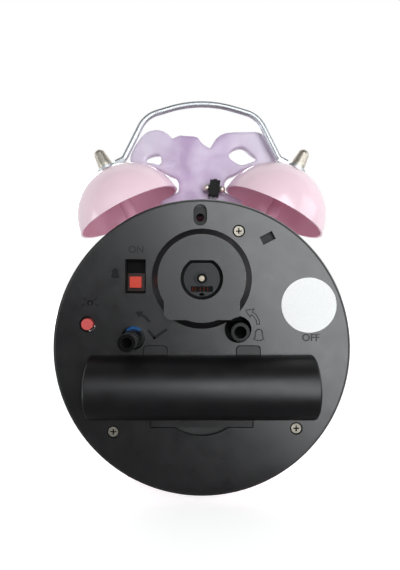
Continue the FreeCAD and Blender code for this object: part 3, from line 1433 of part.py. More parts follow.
# Motor in the cover's cradle
can = body("MotorCan", height="hub_height_up")
revolve(can, "CanTurn", [
    ("0", "motor_front - motor_wall"),
    ("motor_radius - motor_wall", "motor_front - motor_wall"),
    ("motor_radius - motor_wall", "motor_rear + end_cap_thickness"),
    ("motor_radius", "motor_rear + end_cap_thickness"),
    ("motor_radius", "motor_front"),
    ("motor_boss_radius", "motor_front"),
    ("motor_boss_radius", "motor_front + motor_boss_length"),
    ("0", "motor_front + motor_boss_length"),
])
pocket(can, "CanBore", "motor_front - motor_wall - overrun", "motor_boss_length + motor_wall + 2 * overrun",
       rounds=[("0", "0", "motor_shaft_radius + running_gap")])
node(can, "motor_can")
end_cap = body("MotorEndCap", height="hub_height_up")
pad(end_cap, "EndCapDisc", "motor_rear", "end_cap_thickness", rounds=[("0", "0", "motor_radius")])
pad(end_cap, "EndCapRing", "motor_rear - end_cap_ring_rise", "end_cap_ring_rise + end_cap_thickness / 2",
    rounds=[("0", "0", "end_cap_ring_radius")])
pocket(end_cap, "EndCapBore", "motor_rear - 2 * overrun", "end_cap_thickness + 3 * overrun",
       rounds=[("0", "0", "motor_shaft_radius + running_gap")])
pocket(end_cap, "EndCapSlot", "motor_rear - overrun", "end_cap_slot_depth + overrun", rectangle(
    "-end_cap_slot_half", "-end_cap_slot_drop - end_cap_slot_half_height",
    "end_cap_slot_half", "-end_cap_slot_drop + end_cap_slot_half_height"))
node(end_cap, "motor_end_cap")
magnet_outer = "motor_radius - motor_wall - press_gap"
magnet_start = "motor_rear + end_cap_thickness + fit_gap"
magnet_length = f"motor_front - motor_wall - fit_gap - ({magnet_start})"
magnet_ring = cut("MagnetRing",
                  cylinder("MagnetOuter", magnet_outer, magnet_length, "0", magnet_start, "hub_height_up"),
                  [cylinder("MagnetInner", f"{magnet_outer} - magnet_wall", magnet_length, "0",
                            magnet_start, "hub_height_up"),
                   block("MagnetGap", "2 * motor_radius", magnet_length, "magnet_wall", "0",
                         magnet_start, "hub_height_up")])
node(magnet_ring, "motor_magnets")
armature = cut("Armature",
               cylinder("ArmatureCore", "armature_radius", "armature_length", "0", "armature_rear",
                        "hub_height_up"),
               [cylinder("ArmatureBore", "motor_shaft_radius + press_gap", "armature_length", "0",
                         "armature_rear", "hub_height_up")])
node(armature, "motor_armature")
shaft = cylinder("MotorShaft", "motor_shaft_radius",
                 "cam_rear + cam_thickness - motor_rear + motor_shaft_rear", "0",
                 "motor_rear - motor_shaft_rear", "hub_height_up")
node(shaft, "motor_shaft")
cam_disc = cylinder("CamDisc", "cam_radius", "cam_thickness", "0", "cam_rear", "hub_height_up")
crank = cylinder("CrankPin", "crank_radius", "crank_length + cam_thickness / 2", "-crank_offset",
                 "cam_rear + cam_thickness / 2", "hub_height_up")
cam = cut("EccentricCam", fuse("CamBlank", [cam_disc, crank]),
          [cylinder("CamBore", "motor_shaft_radius + press_gap", "cam_thickness + press_gap", "0",
                    "cam_rear", "hub_height_up")])
node(cam, "eccentric_cam")

# Hammer: a bracket on the motor's front, a shouldered pivot, the arm, its head and two steel balls
bracket = body("HammerBracket")
pad(bracket, "BracketPlate", "motor_front", "bracket_thickness", rectangle(
    "-bracket_half_width", "bracket_bottom", "bracket_half_width", "bracket_top"))
pocket(bracket, "BracketHoles", "motor_front - overrun", "bracket_thickness + 2 * overrun", rounds=[
    ("0", "hub_height_up", "motor_boss_radius + fit_gap"),
    ("0", "pivot_height", "pivot_radius + press_gap"),
])
node(bracket, "hammer_bracket")
pivot = body("HammerPivot", height="pivot_height")
arm_front = "(arm_depth + arm_thickness)"
revolve(pivot, "PivotTurn", [
    ("0", "motor_front + fit_gap"),
    ("pivot_radius", "motor_front + fit_gap"),
    ("pivot_radius", "motor_front + bracket_thickness"),
    ("pivot_shoulder_radius", "motor_front + bracket_thickness"),
    ("pivot_shoulder_radius", "arm_depth - running_gap"),
    ("pivot_radius", "arm_depth - running_gap"),
    ("pivot_radius", f"{arm_front} + running_gap"),
    ("pivot_head_radius", f"{arm_front} + running_gap"),
    ("pivot_head_radius", f"{arm_front} + running_gap + pivot_head"),
    ("0", f"{arm_front} + running_gap + pivot_head"),
])
node(pivot, "hammer_pivot")


arm = body("HammerArm", height="pivot_height")
pad(arm, "ArmBar", "arm_depth", "arm_thickness", turn="hammer_lean", points=rectangle(
    "-arm_half_width", "0", "arm_half_width", "head_centre"))
pad(arm, "ArmEye", "arm_depth", "arm_thickness", turn="hammer_lean",
    rounds=[("0", "0", "arm_eye_radius")])
pad(arm, "ArmRing", "arm_depth", "arm_thickness", turn="hammer_lean",
    rounds=[("0", "hammer_ring_height", "arm_ring_radius")])
pocket(arm, "ArmHoles", "arm_depth - overrun", "arm_thickness + 2 * overrun", turn="hammer_lean", rounds=[
    ("0", "0", "pivot_radius + running_gap"),
    ("0", "hammer_ring_height", "arm_hole_radius"),
])
node(arm, "hammer_arm")
head = body("HammerHeadBlock", height="pivot_height")
head_rear = "arm_depth + arm_thickness / 2 - head_half_thickness"
pad(head, "HeadBlock", head_rear, "2 * head_half_thickness", turn="hammer_lean", points=rectangle(
    "-head_half_width", "head_centre - head_half_length",
    "head_half_width", "head_centre + head_half_length"))
pad(head, "HeadLugs", f"{head_rear} + head_edge", "2 * (head_half_thickness - head_edge)",
    turn="hammer_lean", points=rectangle(
        "-head_lug_half", "head_centre - head_half_length - head_lug_rise",
        "head_lug_half", "head_centre + head_half_length + head_lug_rise"))
pocket(head, "HeadSlot", "arm_depth - press_gap", "arm_thickness + 2 * press_gap",
       turn="hammer_lean", points=rectangle(
           "-arm_half_width - press_gap", "head_centre - head_half_length - head_lug_rise - overrun",
           "arm_half_width + press_gap", "head_centre + press_gap"))


def ball(name, radius, side):
    """A ball beside the hammer's head."""
    item = doc.addObject("Part::Sphere", name)
    bind(item, "Radius", radius)
    return seat(item, f"-head_centre * sin(hammer_lean) + {side} * ball_reach * cos(hammer_lean)",
                "arm_depth + arm_thickness / 2",
                f"pivot_height + head_centre * cos(hammer_lean) + {side} * ball_reach * sin(hammer_lean)")


sockets = [ball(f"BallSocket{index}", "ball_radius + press_gap", side) for index, side in enumerate((-1, 1))]
node(cut("HammerHead", head, sockets), "hammer_head")
balls = [ball(f"Ball{index}", "ball_radius", side) for index, side in enumerate((-1, 1))]
node(group("HammerBalls", balls), "hammer_balls")

doc.recompute()
for item in doc.Objects:
    if {"Invalid", "Error"} & set(item.State):
        raise RuntimeError(f"{item.Label} is {item.State}")
for piece in nodes:
    if piece.Shape.isNull() or not piece.Shape.isValid():
        raise RuntimeError(f"{piece.Label} has no valid shape")
for piece in nodes:
    piece.Shape.exportStep(f"parts/{piece.Label}.step")
print(f"{len(nodes)} pieces, {sum(len(piece.Shape.Solids) for piece in nodes)} solids")
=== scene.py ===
import math

import bmesh
import bpy
from mathutils import Matrix, Vector, noise


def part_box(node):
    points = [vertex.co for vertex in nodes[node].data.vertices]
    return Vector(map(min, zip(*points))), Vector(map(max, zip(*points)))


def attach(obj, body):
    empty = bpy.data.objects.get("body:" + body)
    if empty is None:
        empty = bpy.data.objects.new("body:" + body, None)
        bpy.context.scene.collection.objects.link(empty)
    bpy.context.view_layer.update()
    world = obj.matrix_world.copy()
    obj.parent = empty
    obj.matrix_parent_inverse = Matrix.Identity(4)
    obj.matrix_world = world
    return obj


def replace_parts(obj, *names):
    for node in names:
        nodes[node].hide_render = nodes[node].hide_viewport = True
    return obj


# A twin-bell alarm clock: its finishes, raised symbols, dial print, light and camera.
# The dial faces -Y and the rear cover +Y. Points on the cover are in mm, as seen from behind.

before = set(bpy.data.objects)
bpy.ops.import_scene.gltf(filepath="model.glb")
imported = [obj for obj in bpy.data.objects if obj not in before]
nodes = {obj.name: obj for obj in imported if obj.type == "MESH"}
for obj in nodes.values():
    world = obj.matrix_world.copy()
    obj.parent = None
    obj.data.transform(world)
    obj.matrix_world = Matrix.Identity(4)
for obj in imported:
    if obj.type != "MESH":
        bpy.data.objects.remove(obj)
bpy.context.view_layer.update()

MM = 0.001
WHITE = (1.0, 1.0, 1.0, 1.0)


def middle(node):
    """The middle of a node's box."""
    low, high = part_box(node)
    return (low + high) / 2


# The clock's middle, the rear cover's plane and radius, and the motor hub's middle, foot and top
CLOCK = middle("case_drum")
COVER_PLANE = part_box("round_label")[0].y
COVER_RADIUS = (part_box("rear_cover")[1].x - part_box("rear_cover")[0].x) / 2
HUB = middle("motor_end_cap")
HUB_FOOT = 22 * MM
HUB_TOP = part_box("rear_cover")[1].y

# End cap of the motor: its levels, then its drawing in mm from the hub's axis
CAP_BOSS_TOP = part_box("motor_end_cap")[1].y
CAP_FACE = CAP_BOSS_TOP - 0.8 * MM
CAP_SLOT = CAP_FACE - 0.8 * MM
SHAFT_GROOVE = 2.0 * MM
CAP_RADIUS = 6.5
CAP_FLAT = 5.5
BOSS_RADIUS = 2.25
CONTACT_DROP = 3.9
CONTACT_HALF = 0.6
CONTACTS_ACROSS = (-3.5, -2.5, -0.6, 0.8, 2.2)
NOTCH_DROP = 6.3
NOTCH_RADII = (0.75, 0.3)

# Knobs with their sockets, the blue collar, the slider's thumb, the light button and its guide
TIME_AXIS = middle("time_knob")
ALARM_AXIS = middle("alarm_knob")
SOCKET_RADIUS = 2.0 * MM
# Level below which painted shade turns the blue collar black
COLLAR_SHADE_LINE = TIME_AXIS.z + 2.2 * MM
# Level below which painted shade dims the slider's plate
THUMB_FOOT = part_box("alarm_slider")[1].y - 1.7 * MM
BUTTON_SIDE = 32 * MM
GUIDE_LEVEL = COVER_PLANE - 1.0 * MM

# Case drum, and the bells' outer sphere, wall and the painted shade inside them
DRUM_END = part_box("case_drum")[1].y
DRUM_RADIUS = 57.2 * MM
BELL_SPHERE = 23.1 * MM
BELL_WALL = 0.9 * MM
BELL_INSIDE = (BELL_SPHERE - 0.8 * BELL_WALL, BELL_SPHERE - 0.4 * BELL_WALL)
BELL_CENTRE = Vector((30.1 * MM, middle("bell_right").y, 113.3 * MM))

# Dial: its print, with each mark's half width, inner and outer radius in mm
PRINT_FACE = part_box("dial")[0].y - 0.06 * MM
HOUR_MARK = (0.55, 44.3, 48.8)
MINUTE_MARK = (0.22, 46.2, 48.6)
NUMERAL_RING = 37.5 * MM
NUMERAL_SIZE = 11.5 * MM
PRINT_HEIGHT = 0.02 * MM

# Raised symbols: how far they sink in and rise, in mm, and the shares of their sloping sides
SEAT = 0.05
SYMBOL_HEIGHT = 0.25
PLATE_TOP = 0.94
STROKE_TOP = 0.85
STROKE_TIP = 0.4
LETTER_HEIGHT = 0.12 * MM
LETTER_BOLD = 0.05 * MM

# Crest: its knot, its pleats and lumps with their depths in mm, the flat of its rear face,
# how far from the middle painted light turns its ends pale, and its softening
KNOT_ACROSS = 4.7 * MM
KNOT_HEIGHT = 139.5 * MM
KNOT_RADIUS = 5 * MM
PLEAT_REACH = 7 * MM
PLEATS = 9
PLEAT_SWAY = 2.0
PLEAT_DEPTH = 0.16
LUMPS_PER_METRE = 160
LUMP_DEPTH = 0.2
FLAT_BACK = 2.5 * MM
FLAT_SLOPE = 0.25
PAINTED_LIGHT_FROM, PAINTED_LIGHT_TO = 6 * MM, 26 * MM
PAINTED_LIGHT_SHARE = 0.8
VOXEL = 0.5 * MM
SOFTENING = 0.5
SOFTENING_STEPS = 14

# Floor: its sheet, its tone in light and in reflections, and its glow near and far from the clock
SHEET_SIZE = 3.0
SHEET_EDGE = 60 * MM
SHEET_TONE = (0.82, 0.82, 0.82, 1.0)
SHEET_MIRRORED = (0.2, 0.2, 0.2, 1.0)
GLOW_NEAR, GLOW_FAR = 0.25, 0.7
GLOW_STRENGTHS = (0.66, 1.0)

# Room: where the backdrop begins, and the light from behind to in front and from level to above
BACKDROP = (-0.3, -0.1)
ROOM_DEPTHS = (-0.15, 0.3)
ROOM_LIGHT = (0.85, 0.05)
CEILING_HEIGHTS = (0.4, 0.9)
CEILING_LIGHT = (1.0, 0.45)

# Camera and lamps
CAMERA_PLACE = (0.68 * MM, 174.25 * MM, 83.8 * MM)
CAMERA_LENS = 37.62
SENSOR_WIDTH = 36.0
LAMP_COLOUR = (0.96, 0.985, 1.0)

# Each lamp's name, direction from the clock, distance, width, height, power, and turn in degrees
LAMPS = (
    ("window", (-0.39, 1.0, 0.14), 1.2, 0.84, 1.22, 13.4, 150),
    ("wall", (0.6, 1.0, 0.45), 1.3, 0.8, 0.8, 1.2, 0),
    ("left_fill", (1.0, 0.35, -0.25), 1.2, 0.7, 0.7, 5.0, 0),
    ("right_fill", (-1.0, 0.3, 0.25), 1.2, 0.7, 0.7, 3.0, 0),
    ("front_fill", (0.25, -1.0, 0.35), 1.2, 0.8, 0.8, 5.0, 0),
)


def on_cover(across, up, level=COVER_PLANE):
    """A place on the rear cover, in mm to the right of and above its centre as seen from behind."""
    return Vector((CLOCK.x - across * MM, level, CLOCK.z + up * MM))


# Material nodes

# Screen values to light, the part of the noise's range that shows, and the Mix node's sockets
SCREEN_GAMMA = 2.2
NOISE_LOW, NOISE_HIGH = 0.3, 0.7
MIX_FIRST, MIX_SECOND, MIX_RESULT = 6, 7, 2


def shade(red, green, blue):
    """A colour given in screen values from 0 to 255."""
    return tuple((c / 255) ** SCREEN_GAMMA for c in (red, green, blue)) + (1.0,)


def lighter(colour, factor):
    """The colour, made lighter or darker by a factor."""
    return tuple(min(1.0, c * factor) for c in colour[:3]) + (1.0,)


def add(tree, kind, **sockets):
    """A new node with some of its sockets set."""
    made = tree.nodes.new(kind)
    for name, value in sockets.items():
        made.inputs[name.replace("_", " ")].default_value = value
    return made


def start(name, roughness=0.5, metallic=0.0, **sockets):
    """A new material with its shader and its object coordinates."""
    made = bpy.data.materials.new(name)
    made.use_nodes = True
    tree = made.node_tree
    shader = tree.nodes["Principled BSDF"]
    shader.inputs["Roughness"].default_value = roughness
    shader.inputs["Metallic"].default_value = metallic
    for socket, value in sockets.items():
        shader.inputs[socket.replace("_", " ")].default_value = value
    place = tree.nodes.new("ShaderNodeTexCoord").outputs["Object"]
    return made, tree, shader, place


def feed(tree, shader, socket, value):
    """The value, led to a socket of the shader."""
    tree.links.new(value, shader.inputs[socket])


def speckle(tree, place, scale, detail=4.0, stretch=None):
    """Noise of so many waves per metre, stretched along an axis where asked."""
    if stretch:
        mapping = add(tree, "ShaderNodeMapping", Scale=stretch)
        tree.links.new(place, mapping.inputs["Vector"])
        place = mapping.outputs["Vector"]
    cloud = add(tree, "ShaderNodeTexNoise", Scale=scale, Detail=detail)
    tree.links.new(place, cloud.inputs["Vector"])
    return cloud.outputs["Fac"]


def ramp(tree, value, dark, light, low=NOISE_LOW, high=NOISE_HIGH):
    """A blend from dark to light as the value goes from low to high."""
    made = tree.nodes.new("ShaderNodeValToRGB")
    made.color_ramp.elements[0].position = low
    made.color_ramp.elements[1].position = high
    made.color_ramp.elements[0].color = dark
    made.color_ramp.elements[1].color = light
    tree.links.new(value, made.inputs["Fac"])
    return made.outputs["Color"]


def span(tree, value, low, high, first, last):
    """The value, taken from one range to another."""
    made = add(tree, "ShaderNodeMapRange", From_Min=low, From_Max=high, To_Min=first, To_Max=last)
    tree.links.new(value, made.inputs["Value"])
    return made.outputs["Result"]


def rise(tree, value, level, begin, end):
    """0 before a step and 1 after it, the step lying between two distances in mm past a level."""
    return span(tree, value, level + begin * MM, level + end * MM, 0.0, 1.0)


def fall(tree, value, level, begin, end):
    """1 before a step and 0 after it, the step lying between two distances in mm past a level."""
    return span(tree, value, level + begin * MM, level + end * MM, 1.0, 0.0)


def mottled(tree, place, scale, detail, first, last):
    """A value that wanders between two ends with the noise."""
    return span(tree, speckle(tree, place, scale, detail), NOISE_LOW, NOISE_HIGH, first, last)


def maths(tree, operation, first, second=None):
    """One sum on values or plain numbers."""
    made = tree.nodes.new("ShaderNodeMath")
    made.operation = operation
    for index, value in enumerate((first, second)):
        if isinstance(value, (int, float)):
            made.inputs[index].default_value = value
        elif value is not None:
            tree.links.new(value, made.inputs[index])
    return made.outputs["Value"]


def mix(tree, share, first, second, blend="MIX"):
    """Two colours mixed by a share."""
    made = tree.nodes.new("ShaderNodeMix")
    made.data_type = "RGBA"
    made.blend_type = blend
    inputs = (made.inputs["Factor"], made.inputs[MIX_FIRST], made.inputs[MIX_SECOND])
    for socket, value in zip(inputs, (share, first, second)):
        if isinstance(value, (float, tuple)):
            socket.default_value = value
        else:
            tree.links.new(value, socket)
    return made.outputs[MIX_RESULT]


def roughen(tree, shader, height, distance, strength=1.0):
    """Fine relief on the surface."""
    bump = add(tree, "ShaderNodeBump", Strength=strength, Distance=distance)
    tree.links.new(height, bump.inputs["Height"])
    feed(tree, shader, "Normal", bump.outputs["Normal"])


def coordinate(tree, place, axis):
    """One of a place's three coordinates."""
    parts = tree.nodes.new("ShaderNodeSeparateXYZ")
    tree.links.new(place, parts.inputs["Vector"])
    return parts.outputs[axis]


def away_from(tree, place, centre, mirrored=False, flat=False):
    """The distance of each point from a centre, or from the line along Y through it."""
    total = None
    for axis, centre_value in zip("XYZ", centre):
        if flat and axis == "Y":
            continue
        value = coordinate(tree, place, axis)
        if mirrored and axis == "X":
            value = maths(tree, "ABSOLUTE", value)
        square = maths(tree, "POWER", maths(tree, "SUBTRACT", value, centre_value), 2.0)
        total = square if total is None else maths(tree, "ADD", total, square)
    return maths(tree, "SQRT", total)


# Finishes

PINK = shade(251, 219, 230)
# Darker pink for the painted shade inside the bells
BELL_SHADE_PINK = shade(240, 188, 208)
CHARCOAL = shade(21, 20, 22)


def moulded(name, colour, roughness, grain=2600, relief=0.006 * MM, spread=0.12, **sockets):
    """Moulded plastic: a faint cloudy tone, worn sheen and fine grain."""
    made, tree, shader, place = start(name, roughness, **sockets)
    dark, light = lighter(colour, 1 - spread), lighter(colour, 1 + spread)
    feed(tree, shader, "Base Color", ramp(tree, speckle(tree, place, 70), dark, light))
    worn = mottled(tree, place, 160, 4.0, roughness - 0.04, roughness + 0.05)
    feed(tree, shader, "Roughness", worn)
    roughen(tree, shader, speckle(tree, place, grain, 2.0), relief)
    return made


def plated(name, colour, roughness, stretch=None, spread=0.1, relief=0.008 * MM):
    """Plated or drawn metal with fine streaks."""
    made, tree, shader, place = start(name, roughness, 1.0)
    streaks = speckle(tree, place, 900, 3.0, stretch)
    dark, light = lighter(colour, 1 - spread), lighter(colour, 1 + spread)
    feed(tree, shader, "Base Color", ramp(tree, streaks, dark, light))
    dull = mottled(tree, place, 140, 4.0, roughness - 0.05, roughness + 0.1)
    feed(tree, shader, "Roughness", dull)
    roughen(tree, shader, streaks, relief)
    return made


def cover_masks(tree, place):
    """Which parts of the cover get painted shade (its recesses and its rim), the hub's wall, and
    the hub's top.
    """
    depth = coordinate(tree, place, "Y")
    near_hub = fall(tree, away_from(tree, place, HUB, flat=True), HUB_FOOT, 0.0, 0.5)
    below_top = fall(tree, depth, HUB_TOP, -0.35, -0.1)
    above_plane = rise(tree, depth, COVER_PLANE, 0.3, 0.6)
    below_plane = fall(tree, depth, COVER_PLANE, -1.0, -0.15)
    reach = away_from(tree, place, CLOCK, flat=True)
    inner_part = fall(tree, reach, COVER_RADIUS, -2.5, -2.0)
    rim = rise(tree, reach, COVER_RADIUS, -0.8, -0.5)
    recess_and_rim_shade = maths(tree, "MAXIMUM", maths(tree, "MULTIPLY", inner_part, below_plane), rim)
    wall = maths(tree, "MULTIPLY", maths(tree, "MULTIPLY", near_hub, below_top), above_plane)
    hub_top = maths(tree, "MULTIPLY", near_hub, maths(tree, "SUBTRACT", 1.0, below_top))
    return recess_and_rim_shade, wall, hub_top


def cover_finish():
    """Matte charcoal with fine grain, rosier on the hub's wall, dull on top, with painted shade
    making its recesses and rim black.
    """
    made, tree, shader, place = start("cover_charcoal", Specular_IOR_Level=0.9)
    recess_and_rim_shade, wall, hub_top = cover_masks(tree, place)
    matte = ramp(tree, speckle(tree, place, 45, 6.0), CHARCOAL, shade(27, 26, 28))
    tone = mix(tree, wall, matte, shade(30, 27, 30))
    # Painted shade: recesses and the rim are turned near black
    feed(tree, shader, "Base Color", mix(tree, recess_and_rim_shade, tone, shade(12, 11, 12)))
    worn = mottled(tree, place, 210, 3.0, 0.28, 0.33)
    gloss = maths(tree, "ADD", worn, mottled(tree, place, 2200, 1.0, -0.012, 0.02))
    coarse = mottled(tree, place, 1600, 1.0, 0.05, 0.17)
    for mask, added in ((recess_and_rim_shade, 0.4), (wall, 0.04), (hub_top, coarse)):
        gloss = maths(tree, "ADD", gloss, maths(tree, "MULTIPLY", mask, added))
    feed(tree, shader, "Roughness", gloss)
    roughen(tree, shader, speckle(tree, place, 1000, 3.0), 0.01 * MM)
    return made


def cap_finish():
    """Dark plastic, with painted shade making it black in its slot, round the shaft and round its
    flat-topped face.
    """
    made, tree, shader, place = start("cap_black", Specular_IOR_Level=0.4)
    radius = away_from(tree, place, HUB, flat=True)
    # Painted shade: the slot, the groove round the shaft and the band round the face are made black
    shade_parts = (
        rise(tree, coordinate(tree, place, "Z"), HUB.z + CAP_FLAT * MM, 0.1, 0.3),
        fall(tree, coordinate(tree, place, "Y"), CAP_FACE, -0.3, -0.1),
        fall(tree, radius, SHAFT_GROOVE, -0.15, 0.0),
    )
    black = rise(tree, radius, CAP_RADIUS * MM, 0.1, 0.3)
    for part in shade_parts:
        black = maths(tree, "MAXIMUM", black, part)
    face = ramp(tree, speckle(tree, place, 80), shade(27, 30, 33), shade(34, 37, 41))
    feed(tree, shader, "Base Color", mix(tree, black, face, shade(5, 5, 6)))
    feed(tree, shader, "Roughness", span(tree, black, 0.0, 1.0, 0.42, 0.9))
    roughen(tree, shader, speckle(tree, place, 2200, 2.0), 0.008 * MM)
    return made


def screw_finish():
    """Zinc-plated heads, with painted shade darkening the cross recess."""
    made, tree, shader, place = start("screw_zinc", metallic=1.0)
    # Painted shade: darker and rougher in the cross recess
    cross = fall(tree, coordinate(tree, place, "Y"), COVER_PLANE, -0.45, -0.25)
    plating = ramp(tree, speckle(tree, place, 900, 3.0), shade(140, 135, 124), shade(168, 163, 152))
    feed(tree, shader, "Base Color", mix(tree, cross, plating, shade(38, 33, 27)))
    feed(tree, shader, "Roughness", span(tree, cross, 0.0, 1.0, 0.48, 0.8))
    roughen(tree, shader, speckle(tree, place, 1300, 3.0), 0.03 * MM)
    return made


def knob_finish():
    """Black plastic, unlit down the sockets in the knobs' ends."""
    made, tree, shader, place = start("knob_black", Specular_IOR_Level=0.3)
    from_time = away_from(tree, place, TIME_AXIS, flat=True)
    from_alarm = away_from(tree, place, ALARM_AXIS, flat=True)
    socket = fall(tree, maths(tree, "MINIMUM", from_time, from_alarm), SOCKET_RADIUS, 0.0, 0.15)
    face = ramp(tree, speckle(tree, place, 70), shade(6, 6, 7), shade(10, 10, 11))
    feed(tree, shader, "Base Color", mix(tree, socket, face, shade(4, 4, 5)))
    feed(tree, shader, "Roughness", span(tree, socket, 0.0, 1.0, 0.27, 0.95))
    roughen(tree, shader, speckle(tree, place, 1500, 2.0), 0.01 * MM)
    return made


def collar_finish():
    """A blue collar, turned black below a level by painted shade."""
    made, tree, shader, place = start("collar_blue", 0.35)
    upper = rise(tree, coordinate(tree, place, "Z"), COLLAR_SHADE_LINE, 0.0, 0.5)
    blue = ramp(tree, speckle(tree, place, 90), shade(30, 98, 170), shade(46, 122, 198))
    feed(tree, shader, "Base Color", mix(tree, upper, shade(10, 12, 16), blue))
    return made


def red_finish():
    """Red plastic for the slider's thumb, with painted shade dimming the plate under it, and a
    rosier button.
    """
    made, tree, shader, place = start("plastic_red", 0.36)
    at_button = rise(tree, coordinate(tree, place, "X"), BUTTON_SIDE, 0.0, 6.0)
    plate = fall(tree, coordinate(tree, place, "Y"), THUMB_FOOT, 0.0, 0.2)
    cloud = speckle(tree, place, 90)
    thumb = ramp(tree, cloud, shade(196, 58, 42), shade(212, 68, 50))
    button = ramp(tree, cloud, shade(196, 82, 80), shade(210, 92, 90))
    tone = mix(tree, at_button, thumb, button)
    # Painted shade: the plate under the thumb is made near-black red
    feed(tree, shader, "Base Color", mix(tree, plate, tone, shade(46, 14, 14)))
    roughen(tree, shader, speckle(tree, place, 1400, 2.0), 0.008 * MM)
    return made


def enamel(name, colour):
    """Gloss enamel with a slight cloudiness, its tone and gloss left for the caller to feed."""
    made, tree, shader, place = start(name, 0.22, Coat_Weight=0.5, Coat_Roughness=0.08)
    tone = ramp(tree, speckle(tree, place, 55, 5.0), lighter(colour, 0.96), lighter(colour, 1.03))
    gloss = span(tree, speckle(tree, place, 260, 3.0), 0.35, 0.65, 0.2, 0.27)
    roughen(tree, shader, speckle(tree, place, 500, 3.0), 0.012 * MM)
    return made, tree, shader, place, tone, gloss


def case_finish(colour):
    """Pink enamel, with painted shade turning the drum's rear edge black."""
    made, tree, shader, place, tone, gloss = enamel("case_pink", colour)
    in_drum = fall(tree, away_from(tree, place, CLOCK, flat=True), DRUM_RADIUS, 0.0, 0.2)
    at_end = rise(tree, coordinate(tree, place, "Y"), DRUM_END, -1.2, -1.0)
    seam_shade = maths(tree, "MULTIPLY", in_drum, at_end)
    # Painted shade: black along the drum's rear edge beside the cover
    feed(tree, shader, "Base Color", mix(tree, seam_shade, tone, shade(18, 17, 19)))
    feed(tree, shader, "Roughness", gloss)
    return made


def bell_finish(outer, inner):
    """Pink enamel, duller inside the bells, where painted shade makes it a darker rose."""
    made, tree, shader, place, tone, gloss = enamel("bell_pink", outer)
    reach = away_from(tree, place, BELL_CENTRE, mirrored=True)
    inside = span(tree, reach, *BELL_INSIDE, 1.0, 0.0)
    # Painted shade: a darker rose inside the bells
    feed(tree, shader, "Base Color", mix(tree, inside, tone, inner))
    dulled = maths(tree, "ADD", gloss, maths(tree, "MULTIPLY", inside, 0.2))
    feed(tree, shader, "Roughness", dulled)
    return made


def crest_finish():
    """Cloudy lilac resin, with painted light making it paler towards the ends of its loops."""
    made, tree, shader, place = start(
        "crest_lilac", 0.34, Subsurface_Weight=0.3, Subsurface_Scale=1.0,
        Subsurface_Radius=(0.004, 0.0035, 0.004), Transmission_Weight=0.1,
        Coat_Weight=0.25, IOR=1.45)
    cloud = speckle(tree, place, 75)
    tone = ramp(tree, cloud, shade(192, 165, 202), shade(216, 199, 223), 0.35, 0.65)
    reach = maths(tree, "ABSOLUTE", coordinate(tree, place, "X"))
    ends = span(tree, reach, PAINTED_LIGHT_FROM, PAINTED_LIGHT_TO, 0.0, PAINTED_LIGHT_SHARE)
    feed(tree, shader, "Base Color", mix(tree, ends, tone, shade(221, 212, 226)))
    roughen(tree, shader, speckle(tree, place, 240, 3.0), 0.12 * MM, 0.6)
    return made


def dial_rings(tree, place):
    """Printed rings: a pale centre, a white band for the numbers and the minute track."""
    white, pink, pale = shade(250, 248, 244), shade(240, 190, 205), shade(252, 236, 240)
    stops = (
        (0.0, pale), (0.42, pink), (0.43, white), (0.79, pink),
        (0.8, pale), (0.875, pink), (0.885, white),
    )
    rings = tree.nodes.new("ShaderNodeValToRGB")
    rings.color_ramp.interpolation = "CONSTANT"
    elements = rings.color_ramp.elements
    while len(elements) < len(stops):
        elements.new(1.0)
    for element, (position, colour) in zip(elements, stops):
        element.position = position
        element.color = colour
    radius = away_from(tree, place, CLOCK, flat=True)
    tree.links.new(span(tree, radius, 0.0, COVER_RADIUS, 0.0, 1.0), rings.inputs["Fac"])
    return rings.outputs["Color"]


def dial_finish():
    """White card with faint fibres and printed rings."""
    made, tree, shader, place = start("dial_card", 0.55)
    fibre = ramp(tree, speckle(tree, place, 900), (0.94, 0.94, 0.94, 1.0), WHITE)
    feed(tree, shader, "Base Color", mix(tree, 1.0, dial_rings(tree, place), fibre, "MULTIPLY"))
    return made


def paper_finish():
    """White paper with fine fibres."""
    made, tree, shader, place = start("label_paper", 0.6)
    fibre = speckle(tree, place, 1400, 5.0)
    feed(tree, shader, "Base Color", ramp(tree, fibre, shade(244, 244, 242), shade(254, 254, 253)))
    roughen(tree, shader, fibre, 0.02 * MM, 0.5)
    return made


def lens_finish():
    """Clear sheet: nearly invisible, with sharp reflections."""
    made, tree, shader, place = start("lens_sheet", 0.04, Alpha=0.1)
    tint = ramp(tree, speckle(tree, place, 30), (0.9, 0.93, 0.95, 1.0), WHITE)
    feed(tree, shader, "Base Color", tint)
    return made


